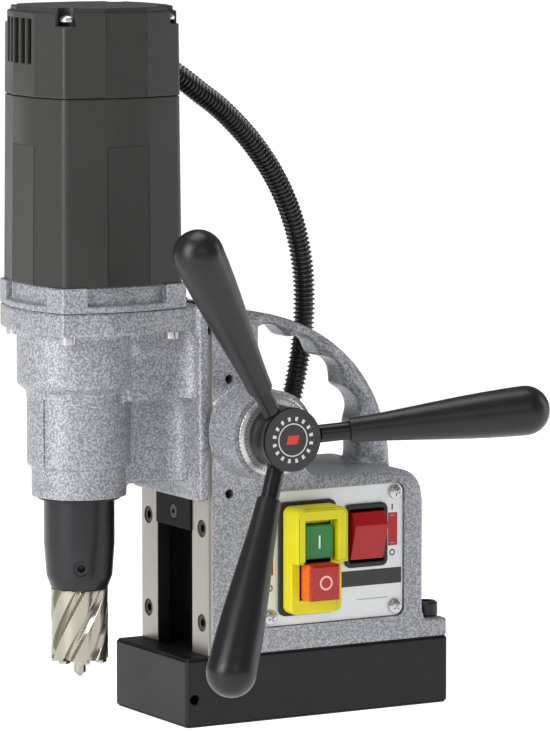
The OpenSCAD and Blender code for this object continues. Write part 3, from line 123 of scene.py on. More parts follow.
floor_mesh = bpy.data.meshes.new("floor")
floor_mesh.from_pydata([(-reach, -reach, 0), (reach, -reach, 0), (reach, reach, 0), (-reach, reach, 0)],
    [], [(0, 1, 2, 3)])
floor = placed("floor", floor_mesh)
floor_paint = bpy.data.materials.new("pale_floor")
floor_paint.use_nodes = True
floor_shader = next(n for n in floor_paint.node_tree.nodes if n.type == "BSDF_PRINCIPLED")
floor_shader.inputs["Base Color"].default_value = (0.5, 0.5, 0.5, 1)
floor_shader.inputs["Roughness"].default_value = 0.6
floor_shader.inputs["Emission Color"].default_value = (1, 1, 1, 1)
floor_shader.inputs["Emission Strength"].default_value = floor_glow
floor_mesh.materials.append(floor_paint)


# ---- Magnet foot ----
# A block of soft steel, milled and painted black, with a coil in a groove of its underside that
# is closed with cast resin. Four cap screws come down into it through the frame's flange.


class Wire:
    """A shader output that varies over a surface. Arithmetic on it adds Math nodes."""

    def __init__(self, finish, socket):
        self.finish = finish
        self.socket = socket

    def maths(self, operation, *others):
        return self.finish.node("ShaderNodeMath", {"operation": operation}, [self, *others])

    def __add__(self, other):
        return self.maths("ADD", other)

    def __sub__(self, other):
        return self.maths("SUBTRACT", other)

    def __rsub__(self, other):
        return self.finish.node("ShaderNodeMath", {"operation": "SUBTRACT"}, [other, self])

    def __mul__(self, other):
        return self.maths("MULTIPLY", other)

    def __truediv__(self, other):
        return self.maths("DIVIDE", other)

    __radd__ = __add__
    __rmul__ = __mul__

    def fade(self, low, high):
        """0 where this is at or below low, 1 at or above high, and smooth between them."""
        return self.finish.node("ShaderNodeMapRange", {"interpolation_type": "SMOOTHSTEP"},
            {"Value": self, "From Min": low, "From Max": high})

    def below(self, low, high):
        """1 where this is at or below low, 0 at or above high."""
        return 1 - self.fade(low, high)

    def band(self, low, high, soft):
        """1 between low and high, 0 outside, with edges that are soft wide."""
        return self.fade(low - soft, low) * self.below(high, high + soft)


class Finish:
    """A material being made: one Principled shader, and pattern nodes on Object coordinates."""

    def __init__(self, name, colour, roughness, **fixed):
        self.material = bpy.data.materials.new(name)
        self.material.use_nodes = True
        self.tree = self.material.node_tree
        self.shader = next(n for n in self.tree.nodes if n.type == "BSDF_PRINCIPLED")
        self.shader.inputs["Base Color"].default_value = (*colour, 1)
        self.shader.inputs["Roughness"].default_value = roughness
        for socket, value in fixed.items():
            self.shader.inputs[socket.replace("_", " ")].default_value = value
        self.place = self.node("ShaderNodeTexCoord", {}, {}, "Object")

    def node(self, kind, settings=(), inputs=(), output=0):
        """Adds a node, sets it up, feeds its sockets, and gives one of its outputs."""
        made = self.tree.nodes.new(kind)
        for key, value in dict(settings).items():
            setattr(made, key, value)
        fed = inputs.items() if isinstance(inputs, dict) else enumerate(inputs)
        for key, value in fed:
            if isinstance(value, Wire):
                self.tree.links.new(value.socket, made.inputs[key])
            else:
                made.inputs[key].default_value = value
        return Wire(self, made.outputs[output])

    def noise(self, scale, detail=2.0, rough=0.5, place=None):
        """Cloudy noise from 0 to 1, scale being its waves in a metre."""
        return self.node("ShaderNodeTexNoise", {}, {"Vector": place or self.place, "Scale": scale,
            "Detail": detail, "Roughness": rough})

    def cells(self, scale, place):
        """Distance from the middle of round cells, scale being their count in a metre."""
        return self.node("ShaderNodeTexVoronoi", {"feature": "SMOOTH_F1"}, {"Vector": place,
            "Scale": scale}, "Distance")

    def scratches(self, x, y, z):
        """Fine marks that run across the axis with the largest scale."""
        scaled = self.node("ShaderNodeVectorMath", {"operation": "MULTIPLY"}, [self.place, (x, y, z)])
        return self.noise(1, 3, 0.6, scaled)

    def axis(self, letter):
        """One Object coordinate, in metres."""
        return self.node("ShaderNodeSeparateXYZ", {}, [self.place], letter.upper())

    def about(self, x, z):
        """How far right of, above and away from an axis along Y a place is."""
        dx, dz = self.axis("x") - x, self.axis("z") - z
        return dx, dz, (dx * dx + dz * dz).maths("SQRT")

    def mix(self, factor, first, second):
        """A colour between two, by a factor."""
        ends = [c if isinstance(c, Wire) else (*c, 1) for c in (first, second)]
        return self.node("ShaderNodeMix", {"data_type": "RGBA"}, {0: factor, 6: ends[0], 7: ends[1]}, 2)

    def tints(self, factor, colour, low, high):
        """A colour that runs from low to high times itself."""
        return self.mix(factor, *(tuple(min(c * k, 1) for c in colour) for k in (low, high)))

    def paint(self, colour):
        self.tree.links.new(colour.socket, self.shader.inputs["Base Color"])

    def vary(self, socket, value):
        self.tree.links.new(value.socket, self.shader.inputs[socket])

    def relief(self, height, depth, strength=1.0):
        """Bump of a height from 0 to 1, depth being its real height in metres."""
        bump = self.node("ShaderNodeBump", {}, {"Height": height, "Distance": depth,
            "Strength": strength}, "Normal")
        self.tree.links.new(bump.socket, self.shader.inputs["Normal"])


def black_paint(name, shade, roughness, grain):
    """Sprayed satin black: a fine orange-peel grain, faint dust and polish marks."""
    f = Finish(name, (shade,) * 3, roughness, Specular_IOR_Level=0.3)
    cloud = f.noise(45, 3)
    peel = f.noise(grain, 2, 0.6)
    f.paint(f.tints(cloud.fade(0.3, 0.75), (shade,) * 3, 0.8, 1.25))
    f.vary("Roughness", roughness - 0.08 + cloud * 0.16)
    f.relief(peel, 0.05 * mm, 0.6)
    return f.material


def copy_of(node):
    """A CAD node's mesh with its loose triangles joined and its flat faces made whole."""
    bm = bmesh.new()
    bm.from_mesh(nodes[node].data)
    bmesh.ops.remove_doubles(bm, verts=bm.verts, dist=0.002 * mm)
    bmesh.ops.dissolve_limit(bm, angle_limit=math.radians(0.6), verts=bm.verts, edges=bm.edges)
    return bm


def break_edges(bm, width, segments=2, sharp=35):
    """Rounds every edge that is sharper than the given angle."""
    edges = [e for e in bm.edges if e.is_manifold and e.calc_face_angle(0) > math.radians(sharp)]
    bmesh.ops.bevel(bm, geom=edges, offset=width, offset_type="OFFSET", segments=segments,
        profile=0.5, affect="EDGES", clamp_overlap=False)
    return bm


def new_object(name, bm):
    """An object at the origin that holds a bmesh's shape."""
    mesh = bpy.data.meshes.new(name)
    bm.to_mesh(mesh)
    bm.free()
    return placed(name, mesh)


def shade(made, angle=32, weighted=True):
    """Smooth shading with sharp edges past an angle, large faces kept flat."""
    made.data.shade_smooth()
    made.data.set_sharp_from_angle(angle=math.radians(angle))
    if weighted:
        normals = made.modifiers.new("flat_faces", "WEIGHTED_NORMAL")
        normals.keep_sharp = True
    return made


def settle(made, material, *stands_for, angle=32, weighted=True):
    """Gives a finished shape its material, its body and the CAD nodes it stands for."""
    shade(made, angle, weighted)
    made.data.materials.clear()
    made.data.materials.append(material)
    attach(made, body_of[stands_for[0]])
    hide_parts(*stands_for)
    return made


def eased(node, name, width, material, segments=2, sharp=35):
    """A CAD node's own shape with its edges broken."""
    return settle(new_object(name, break_edges(copy_of(node), width, segments, sharp)), material, node)


def coat(material, *names):
    """Puts a material on CAD nodes that are shown as they are."""
    for name in names:
        mesh = nodes[name].data
        mesh.materials.clear()
        mesh.materials.append(material)


magnet_paint = black_paint("magnet_black_paint", 0.008, 0.45, 900)
eased("magnet_body", "magnet_block", 0.9 * mm, magnet_paint, 3)


# ---- Frame casting ----
# One aluminium sand casting: column, switch box, lever boss and carrying handle, sprayed with a
# hammered silver enamel. The slideway, bores and joint faces are machined after it is painted.


def box_in(bm, low, high):
    """Adds a box between two corners."""
    low, high = Vector(low), Vector(high)
    made = bmesh.ops.create_cube(bm, size=1)["verts"]
    bmesh.ops.scale(bm, vec=high - low, verts=made)
    bmesh.ops.translate(bm, vec=(high + low) / 2, verts=made)


def rod_in(bm, start, end, radius):
    """Adds a round rod between two points."""
    start, end = Vector(start), Vector(end)
    along = end - start
    place = Matrix.Translation((start + end) / 2) @ along.to_track_quat("Z", "Y").to_matrix().to_4x4()
    made = bmesh.ops.create_cone(bm, cap_ends=True, segments=64, radius1=radius, radius2=radius,
        depth=along.length)["verts"]
    bmesh.ops.transform(bm, matrix=place, verts=made)


def finished(made):
    """Works out a piece's modifiers for good."""
    depsgraph = bpy.context.evaluated_depsgraph_get()
    mesh = bpy.data.meshes.new_from_object(made.evaluated_get(depsgraph))
    made.modifiers.clear()
    made.data = mesh
    return made


def cast(made, grain, rounds, softer=None, more=0):
    """One skin round overlapping solids, with the soft edges and hollow corners of a casting. Where
    softer gives a weight for a point, that many more rounds ease it further."""
    skin = made.modifiers.new("skin", "REMESH")
    skin.mode = "VOXEL"
    skin.voxel_size = grain
    finished(made)
    soft = made.modifiers.new("soft", "SMOOTH")
    soft.factor = 0.5
    soft.iterations = rounds
    if softer:
        group = made.vertex_groups.new(name="softer")
        for vertex in made.data.vertices:
            weight = softer(vertex.co)
            if weight > 0:
                group.add([vertex.index], weight, "REPLACE")
        ease = made.modifiers.new("ease", "SMOOTH")
        ease.factor = 0.5
        ease.iterations = more
        ease.vertex_group = group.name
    return finished(made)


def machine(made, *passes):
    """Cuts away what each pass's tool covers."""
    for cutter in passes:
        tool = new_object("tool", cutter)
        cut = made.modifiers.new("cut", "BOOLEAN")
        cut.operation = "DIFFERENCE"
        cut.solver = "MANIFOLD"
        cut.object = tool
        finished(made)
        bpy.data.objects.remove(tool)
    return made


def slab(x0, x1, z0, z1, radius, y0, y1):
    """A plate with rounded corners that stands across Y."""
    corners = ((x1 - radius, z1 - radius, 0), (x0 + radius, z1 - radius, 90),
        (x0 + radius, z0 + radius, 180), (x1 - radius, z0 + radius, 270))
    outline = [(x + radius * math.cos(math.radians(a + t)), z + radius * math.sin(math.radians(a + t)))
        for x, z, a in corners for t in range(0, 91, 10)]
    bm = bmesh.new()
    near, back = ([bm.verts.new((x, y, z)) for x, z in outline] for y in (y0, y1))
    bm.faces.new(near)
    bm.faces.new(back[::-1])
    for i in range(len(outline)):
        n = (i + 1) % len(outline)
        bm.faces.new((near[n], near[i], back[i], back[n]))
    bmesh.ops.recalc_face_normals(bm, faces=bm.faces)
    return bm


def upright(x, y, z0, z1, radius):
    """The two ends and the radius of a rod along Z."""
    return (x, y, z0), (x, y, z1), radius


def level(x, z, y0, y1, radius):
    """The two ends and the radius of a rod along Y."""
    return (x, y0, z), (x, y1, z), radius


def tool(*shapes):
    """A cutting solid made of boxes (low, high) and rods (start, end, radius)."""
    bm = bmesh.new()
    for shape in shapes:
        if len(shape) == 2:
            box_in(bm, *shape)
        else:
            rod_in(bm, *shape)
    return bm


def hammered_enamel(name, slideway=None):
    """Silver enamel drawn up into small bright blisters with darker hollows between. slideway is the
    depth, half width and face of a channel: painted shade, near black, inside it, and its face milled
    bright."""
    f = Finish(name, (0.42, 0.43, 0.46), 0.34, Metallic=0.35)
    warped = f.node("ShaderNodeVectorMath", {"operation": "MULTIPLY_ADD"},
        [f.noise(700, 2, 0.5), (0.0009,) * 3, f.place])
    blister = f.cells(980, warped)
    fine = f.noise(1500, 2, 0.6)
    broad = f.noise(60, 2)
    height = blister.fade(0.12, 0.62) * 0.7 + fine * 0.3
    tone = (height * 0.75 + fine * 0.35).fade(0.3, 0.95)
    light = f.mix(broad, (0.43, 0.44, 0.47), (0.39, 0.40, 0.425))
    coloured = f.mix(tone, light, (0.19, 0.195, 0.215))
    metal = tone * 0.2 + 0.3
    rough = fine * 0.2 + 0.3
    if slideway:
        (x0, x1), hw, face_x = slideway
        out = f.axis("y").maths("ABSOLUTE")
        # Painted shade: the inside of the channel is coloured near black, as the deep slot lies in shade.
        painted_channel_shade = f.axis("x").band(x0 - 1 * mm, x1 + 0.3 * mm, 0.1 * mm) * out.below(
            hw + 0.2 * mm, hw + 0.3 * mm) * f.axis("z").below(top_z - 0.3 * mm, top_z - 0.2 * mm)
        milled = f.axis("x").below(face_x + 0.03 * mm, face_x + 0.06 * mm) * (1 - painted_channel_shade) * out.below(
            -side_y + 0.1 * mm, -side_y + 0.3 * mm)
        coloured = f.mix(milled, f.mix(painted_channel_shade, coloured, (0.012, 0.012, 0.013)), (0.6, 0.6, 0.59))
        metal = metal.maths("MAXIMUM", milled * 0.9)
    f.paint(coloured)
    f.vary("Metallic", metal)
    f.vary("Roughness", rough)
    f.relief(1 - height, 0.14 * mm, 0.7)
    return f.material


def fitted(made, material, node, angle=30):
    """Settles a casting or a set of copies, which has no broad flat faces to keep."""
    return settle(made, material, node, angle=angle, weighted=False)


foot_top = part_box("magnet_body")[1].z
casting_low, casting_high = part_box("frame_casting")
rail_low, rail_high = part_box("rail_left")
panel_low, panel_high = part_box("front_panel")
bush_low, bush_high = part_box("shaft_bushes")
gib_low, gib_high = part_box("gib_strip")
shaft_at = (bush_low + bush_high) / 2
shaft = (shaft_at.x, shaft_at.z)
bush_r = (bush_high.x - bush_low.x) / 2
boss_y = casting_low.y
side_y = panel_high.y - 2.5 * mm
gap = 0.25 * mm
column_x0 = rail_low.x + 1.25 * mm
channel_x1 = gib_high.x + 3.45 * mm
channel_hw = abs(gib_low.y)
top_z = 213 * mm
boss_r = 23.5 * mm
rear_boss_y = casting_high.y
box_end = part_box("cable_inlet")[0].x + 7.5 * mm
gib_screw_low, gib_screw_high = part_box("gib_screws")
gib_screw_x = (gib_screw_low.x + gib_screw_high.x) / 2
gib_screw_r = (gib_screw_high.x - gib_screw_low.x) / 2 + 0.05 * mm
gib_screw_z = (gib_screw_low.z + gib_screw_r, shaft_at.z - 33.4 * mm, gib_screw_high.z - gib_screw_r)
foot_screw_low, foot_screw_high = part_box("frame_screws")
foot_screw_r = 6.4 * mm
foot_screw_spots = [(x, y) for x in (foot_screw_low.x + foot_screw_r, foot_screw_high.x - foot_screw_r)
    for y in (foot_screw_r - foot_screw_high.y, foot_screw_high.y - foot_screw_r)]
flange_z = foot_top + 9.5 * mm
gland_low, gland_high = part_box("box_gland")
conduit_in = (gland_low + gland_high) / 2
inlet_low, inlet_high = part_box("cable_inlet")
inlet = (inlet_low + inlet_high) / 2
box_top = 128 * mm
wall = 4.5 * mm
pocket_y = panel_high.y
# The tools pass the casting by this much to the sides and on top, and face its bosses from here up.
far = 0.2
over = 0.3
boss_from = 0.1
silver_enamel = hammered_enamel("hammered_silver_enamel")
frame_enamel = hammered_enamel("hammered_frame_enamel",
    ((rail_low.x, channel_x1), channel_hw, column_x0))

rough = copy_of("frame_casting")
box_in(rough, (column_x0 - 3 * mm, side_y + 0.2 * mm, foot_top + 1 * mm),
    (channel_x1 + 1 * mm, -side_y - 0.2 * mm, top_z - 0.2 * mm))
box_in(rough, (column_x0, side_y, foot_top - 3 * mm), (casting_high.x, -side_y, foot_top + 4 * mm))
box_in(rough, (panel_low.x - 1 * mm, side_y - 0.5 * mm, foot_top + 1 * mm),
    (box_end - 6 * mm, 0.5 * mm - side_y, box_top - 6 * mm))
rod_in(rough, *level(*shaft, boss_y - 3 * mm, 0, boss_r))
rod_in(rough, *level(*shaft, 0, rear_boss_y + 3 * mm, boss_r - 4 * mm))
for z in gib_screw_z:
    rod_in(rough, *level(gib_screw_x, z, side_y + 0.2 * mm, side_y / 2, 3.5 * mm))
for x, y in foot_screw_spots:
    rod_in(rough, *upright(x, y, foot_top, flange_z, 6 * mm))


def frame_softness(point):
    """1 on the box's free corners, the handle and the root of the boss, 0 on the fitting faces."""
    across = math.hypot(point.x - shaft_at.x, point.z - shaft_at.z)
    if point.y < side_y + 3 * mm and across < 36 * mm:
        return 1 if point.y > side_y - 14 * mm and across > 20 * mm else 0
    if point.z > box_top - 5 * mm and point.x > -26 * mm:
        return 0.8
    return 1 if point.x > panel_high.x and point.z > flange_z + 4 * mm else 0


casting = cast(new_object("frame_casting_painted", rough), 1.3 * mm, 7, frame_softness, 26)
pockets = [slab(panel_low.x - gap, panel_high.x + gap, panel_low.z - gap,
    panel_high.z + gap, 5 * mm, *sorted((facing * pocket_y, facing * (pocket_y - 9 * mm))))
    for facing in (1, -1)]
milled_ends = tool(((column_x0 - 20 * mm, -rail_high.y, 0), (rail_high.x, rail_high.y, over)),
    ((-far, boss_y - 20 * mm, boss_from), (far, boss_y, far)),
    ((-far, rear_boss_y, boss_from), (far, rear_boss_y + 20 * mm, far)),
    ((-far, -far / 2, -1 * mm), (far, far / 2, foot_top)))
milled_front = tool(((column_x0 - 20 * mm, side_y - 2 * mm, foot_top + 0.5 * mm),
    (column_x0, -side_y + 2 * mm, top_z + 9 * mm)))
channel_and_holes = tool(((rail_low.x, -channel_hw, 0), (channel_x1, channel_hw, over)),
    level(*shaft, boss_y - 5 * mm, boss_y + 21 * mm, bush_r),
    *[level(gib_screw_x, z, side_y - 1 * mm, -channel_hw - 1 * mm, gib_screw_r) for z in gib_screw_z],
    *[upright(x, y, foot_top - 1 * mm, flange_z + 9 * mm, 4.5 * mm) for x, y in foot_screw_spots])
shaft_bore = tool(level(*shaft, boss_y - 5 * mm, rear_boss_y, 9 * mm))
rear_bore = tool(level(*shaft, -9.7 * mm, rear_boss_y + 5 * mm, bush_r))
hollow = tool(((panel_low.x + 3 * mm, side_y + wall, flange_z),
    (box_end - wall, -side_y - wall, box_top - wall)))
openings = tool(((panel_low.x + 9 * mm, side_y - 1 * mm, panel_low.z + 9 * mm),
        (panel_high.x - 9 * mm, -side_y + 1 * mm, panel_high.z - 9 * mm)),
    upright(conduit_in.x, conduit_in.y, box_top - 12 * mm, box_top + 5 * mm, 7 * mm),
    ((box_end - 12 * mm, inlet.y, inlet.z), (box_end + 5 * mm, inlet.y, inlet.z), 8 * mm))
machine(casting, *pockets, milled_ends, milled_front, channel_and_holes, shaft_bore, rear_bore, hollow,
    openings)
fitted(casting, frame_enamel, "frame_casting", 40)


# ---- Gear case ----
# The drill head's casting: a stepped barrel round the spindle, webbed to a flat wing that bolts to
# the slide, under a wide flange and the plate that carries the motor. It has the frame's enamel;
# its nose, its top and the wing's back are machined.

case_low, case_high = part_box("gear_case")
spindle_low, spindle_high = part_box("spindle")
spindle_x = (spindle_low.x + spindle_high.x) / 2
motor_x = (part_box("armature")[0].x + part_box("armature")[1].x) / 2
gear_x = (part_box("intermediate_gears")[0].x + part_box("intermediate_gears")[1].x) / 2
bolt_low, bolt_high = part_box("flange_bolts")
bolt_r = 4.3 * mm
bolt_spots = [(x, y) for x in (bolt_low.x + bolt_r, bolt_high.x - bolt_r)
    for y in (bolt_low.y + bolt_r, bolt_high.y - bolt_r)]
nose_z = case_low.z + 3.5 * mm
wing_x0 = case_high.x - 4.8 * mm
flange_z0 = case_high.z - 12.3 * mm
waist_r = 27.2 * mm
groove_z = (nose_z - 1 * mm, nose_z + 52 * mm)
span = 0.1  # wider than the drill head


def sector_in(bm, middle, z0, z1, inner, outer, start, stop):
    """Adds a curved pad between two radii and two angles."""
    steps = 12
    rings = []
    for radius in (inner, outer):
        for z in (z0, z1):
            rings.append([bm.verts.new((middle + radius * math.cos(math.radians(a)),
                radius * math.sin(math.radians(a)), z))
                for a in np.linspace(start, stop, steps + 1)])
    inner_low, inner_high, outer_low, outer_high = rings
    for first, second in ((inner_low, inner_high), (inner_high, outer_high), (outer_high, outer_low),
            (outer_low, inner_low)):
        for i in range(steps):
            bm.faces.new((first[i], first[i + 1], second[i + 1], second[i]))
    for i, turn in ((0, 1), (steps, -1)):
        bm.faces.new([ring[i] for ring in (inner_low, inner_high, outer_high, outer_low)][::turn])


body = copy_of("gear_case")
rod_in(body, *upright(spindle_x, 0, nose_z - 3 * mm, case_high.z - 1 * mm, 24.5 * mm))
rod_in(body, *upright(spindle_x, 0, nose_z + 59 * mm, case_high.z - 1 * mm, 30 * mm))
box_in(body, (motor_x - 10 * mm, -26 * mm, nose_z + 70 * mm), (wing_x0, 26 * mm, case_high.z + 2 * mm))
for at in bolt_spots:
    rod_in(body, *upright(*at, flange_z0 + 0.5 * mm, case_high.z, 6 * mm))
box_in(body, (wing_x0 + 0.3 * mm, -38.2 * mm, case_low.z + 3 * mm),
    (case_high.x + 3 * mm, 38.2 * mm, case_high.z))
box_in(body, (spindle_x + 20 * mm, -28 * mm, nose_z + 74 * mm),
    (wing_x0 - 3 * mm, 28 * mm, flange_z0 + 2 * mm))
box_in(body, (spindle_x + 18 * mm, -29.4 * mm, nose_z + 75 * mm),
    (wing_x0 - 4 * mm, 29.4 * mm, flange_z0 + 2 * mm))
case = cast(new_object("gear_case_painted", body), 0.95 * mm, 5)
grooves = bmesh.new()
for start, stop in ((200.5, 247.5), (112.5, 159.5)):
    sector_in(grooves, spindle_x, *groove_z, waist_r - 0.7 * mm, waist_r + 6 * mm, start, stop)
bmesh.ops.recalc_face_normals(grooves, faces=grooves.faces)
back_nose_and_top = tool(((case_high.x, -span, 0), (span, span, 4 * span)),
    ((spindle_x - 0.6 * span, -0.6 * span, span / 2), (wing_x0 - 12 * mm, 0.6 * span, nose_z)),
    ((-3 * span, -span, case_high.z), (span, span, 4 * span)))
bores = ((spindle_x, 0, nose_z - 5 * mm, nose_z + 17 * mm, 20.5 * mm),
    (spindle_x, 0, nose_z + 16 * mm, nose_z + 60 * mm, 12 * mm),
    (spindle_x, 0, nose_z + 50 * mm, nose_z + 80 * mm, 17.5 * mm),
    (spindle_x, 0, nose_z + 70 * mm, case_high.z + 5 * mm, 26.5 * mm),
    (gear_x, 0, case_high.z - 29.5 * mm, case_high.z - 10 * mm, 9 * mm),
    (gear_x, 0, case_high.z - 11 * mm, case_high.z + 5 * mm, 18.7 * mm))
machine(case, grooves, back_nose_and_top, *[tool(upright(*bore)) for bore in bores],
    tool(*[upright(*at, flange_z0 - 0.5 * mm, case_high.z + 1 * mm, 2.6 * mm) for at in bolt_spots]))
fitted(case, silver_enamel, "gear_case", 40)
eased("gear_plate", "gear_plate_painted", 0.8 * mm, silver_enamel, 3)


# ---- Magnet coil and foot screws ----
# Enamelled wire wound in the groove, resin poured over it, and black socket head cap screws that
# hold the frame down on the magnet.


def machined(name, colour, roughness, metal, run, shine, sheen=0.5):
    """Bare metal with fine tool marks that run across the axis with the largest scale."""
    f = Finish(name, colour, roughness, Metallic=metal, Specular_IOR_Level=sheen)
    marks = f.scratches(*run)
    stain = f.noise(55, 2)
    f.paint(f.tints(marks * 0.6 + stain * 0.4, colour, 0.82, 1.12))
    f.vary("Roughness", roughness - shine / 2 + marks * shine)
    f.relief(marks, 0.01 * mm, 0.5)
    return f.material


def wound(name):
    """Enamelled copper wire laid in even turns."""
    f = Finish(name, (0.45, 0.16, 0.06), 0.35, Metallic=0.7)
    turns = f.node("ShaderNodeTexWave", {"bands_direction": "Z"}, {"Vector": f.place, "Scale": 160,
        "Distortion": 0.6, "Detail": 2.0}, "Fac")
    f.paint(f.mix(turns, (0.24, 0.07, 0.025), (0.55, 0.22, 0.09)))
    f.relief(turns, 0.3 * mm, 0.8)
    return f.material


black_oxide = machined("black_oxide_steel", (0.035, 0.035, 0.037), 0.36, 0.75, (500, 500, 500), 0.14)
copper_wire = wound("enamelled_copper")
resin = black_paint("cast_resin", 0.05, 0.3, 500)
coat(copper_wire, "magnet_coil", "commutator")
coat(resin, "magnet_potting")


def turned(profile, sides=40):
    """A shape turned about Z, from (radius, z) points that go up its side."""
    bm = bmesh.new()
    rings = [[bm.verts.new((r * math.cos(math.tau * k / sides), r * math.sin(math.tau * k / sides), z))
        for k in range(sides)] if r > 0 else [bm.verts.new((0, 0, z))] for r, z in profile]
    for low, high in zip(rings, rings[1:]):
        for k in range(sides):
            n = (k + 1) % sides
            around = ([low[k], low[n]] if len(low) > 1 else [low[0]]) + (
                [high[n], high[k]] if len(high) > 1 else [high[0]])
            if len(around) > 2:
                bm.faces.new(around)
    for ring in (rings[0], rings[-1]):
        if len(ring) > 1:
            bm.faces.new(ring if ring is rings[-1] else ring[::-1])
    bmesh.ops.recalc_face_normals(bm, faces=bm.faces)
    return bm


def socket_screw(radius, height, key, shank):
    """A cap screw that points down, its head's top at Z 0."""
    edge = radius * 0.12
    head = new_object("screw", turned([(shank, -height - 4 * mm), (shank, -height),
        (radius - edge, -height), (radius, -height + edge), (radius, -edge * 1.6),
        (radius - edge * 1.6, 0)]))
    hollow = bmesh.new()
    bmesh.ops.create_cone(hollow, cap_ends=True, segments=6, radius1=key, radius2=key, depth=height * 1.2)
    return machine(head, hollow)


def recipe(name, result, **inputs):
    """A Geometry Nodes tree with inputs of the kinds given and one output, with its two end nodes."""
    group = bpy.data.node_groups.new(name, "GeometryNodeTree")
    for label, kind in inputs.items():
        group.interface.new_socket(label, in_out="INPUT", socket_type=f"NodeSocket{kind}")
    group.interface.new_socket(result, in_out="OUTPUT", socket_type="NodeSocketGeometry")
    return group, group.nodes.new("NodeGroupInput"), group.nodes.new("NodeGroupOutput")


def wired(group, *wires):
    """Joins nodes, each wire being a node, its output, the next node and its input."""
    for source, output, target, entry in wires:
        group.links.new(source.outputs[output], target.inputs[entry])


def grown(name, points, edges, group, **values):
    """Runs a tree on points and the edges between them, and keeps the mesh that it gives."""
    mesh = bpy.data.meshes.new(name)
    mesh.from_pydata([tuple(p) for p in points], edges, [])
    made = placed(name, mesh)
    tree = made.modifiers.new("tree", "NODES")
    tree.node_group = group
    for item in group.interface.items_tree:
        if item.in_out == "INPUT" and item.name in values:
            tree[item.identifier] = values[item.name]
    return finished(made)


def repeated(name, unit, spots, material, axis=(0, 0, 1), seed=3):
    """One shape copied to each spot, each copy turned by chance about the axis it points along."""
    group, given, got = recipe(name, "Copies", Spots="Geometry", Unit="Object", Finish="Material",
        Turn="Vector", Seed="Int")
    info, spread, chance, real, paint = (group.nodes.new(kind) for kind in ("GeometryNodeObjectInfo",
        "GeometryNodeInstanceOnPoints", "FunctionNodeRandomValue", "GeometryNodeRealizeInstances",
        "GeometryNodeSetMaterial"))
    chance.data_type = "FLOAT_VECTOR"
    wired(group, (given, "Spots", spread, "Points"), (given, "Unit", info, "Object"),
        (info, "Geometry", spread, "Instance"), (given, "Turn", chance, "Max"),
        (given, "Seed", chance, "Seed"), (chance, 0, spread, "Rotation"),
        (spread, "Instances", real, "Geometry"), (real, "Geometry", paint, "Geometry"),
        (given, "Finish", paint, "Material"), (paint, "Geometry", got, "Copies"))
    made = grown(name, spots, [], group, Unit=unit, Finish=material, Turn=[a * math.tau for a in axis],
        Seed=seed)
    bpy.data.objects.remove(unit)
    return made


fitted(repeated("foot_screw_heads", socket_screw(foot_screw_r, 8 * mm, 3.5 * mm, 3.95 * mm),
    [(*at, foot_screw_high.z) for at in foot_screw_spots], black_oxide), black_oxide, "frame_screws")


# ---- Slideway ----
# Two ground steel rails screwed to the column, with a black slide that carries the rack between
# them, a brass gib with its adjusting screws, and the lever shaft in its brass bushes.


def ground_face(name, inner):
    """Steel ground bright along Z, with painted shade, near black, on the side that faces the channel."""
    f = Finish(name, (0.36, 0.345, 0.31), 0.34, Metallic=0.8)
    marks = f.scratches(60, 1500, 12)
    stain = f.noise(55, 2)
    bright = f.mix(marks * 0.6 + stain * 0.4, (0.30, 0.285, 0.255), (0.40, 0.385, 0.35))
    # Painted shade: the side that faces the channel is coloured near black.
    side = f.axis("y").maths("ABSOLUTE").below(inner + 0.02 * mm, inner + 0.12 * mm)
    f.paint(f.mix(side, bright, (0.012, 0.012, 0.013)))
    f.vary("Roughness", marks * 0.14 + side * 0.2 + 0.27)
    f.vary("Metallic", 0.8 - side * 0.5)
    f.relief(marks, 0.01 * mm, 0.5)
    return f.material


ground = ground_face("ground_rail_steel", rail_low.y)
brass = machined("yellow_brass", (0.68, 0.47, 0.2), 0.32, 0.95, (300, 60, 60), 0.12)
for side in ("left", "right"):
    eased(f"rail_{side}", f"slide_rail_{side}", 0.4 * mm, ground)
eased("rail_screws", "rail_screw_heads", 0.18 * mm, black_oxide)
eased("gib_screws", "gib_grub_screws", 0.15 * mm, black_oxide)
coat(brass, "gib_strip", "shaft_bushes")
slide_finish = machined("phosphated_slide", (0.006, 0.006, 0.007), 0.55, 0.3, (500, 500, 60), 0.16,
    sheen=0.12)
eased("slide_block", "slide_block_machined", 0.4 * mm, slide_finish)
steel = machined("bright_machined_steel", (0.56, 0.56, 0.55), 0.3, 0.95, (700, 700, 60), 0.12)
coat(steel, "rack", "intermediate_gears", "spindle_gear", "stator", "pinion_shaft", "armature")
coat(black_oxide, "rack_screws", "shaft_circlip")
coat(slide_finish, "slide_screws")


# ---- Switch panel ----
# A satin aluminium plate with its legend printed on: black rule, red tabs and the on and off marks.
# An enamelled cover closes the back; both are held by domed cross-recess screws.

screw_low, screw_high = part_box("panel_screws")
red_tabs = ((43.3, 49, 87.4, 105), (-31, -27, 77, 91))
black_rule = (8, 51.5, 67, 75.4)
on_bars = ((45.5, 46.2, 106.6, 109.6), (-29.4, -28.7, 94, 97))
off_rings = ((45.9, 83.6), (-29, 70))
off_r = 1.7 * mm
off_line = 0.6 * mm
hairlines = ((24, 43, 59.5, 60), (44.6, 47.4, 88.6, 88.9), (44.6, 47.4, 103.4, 103.7))


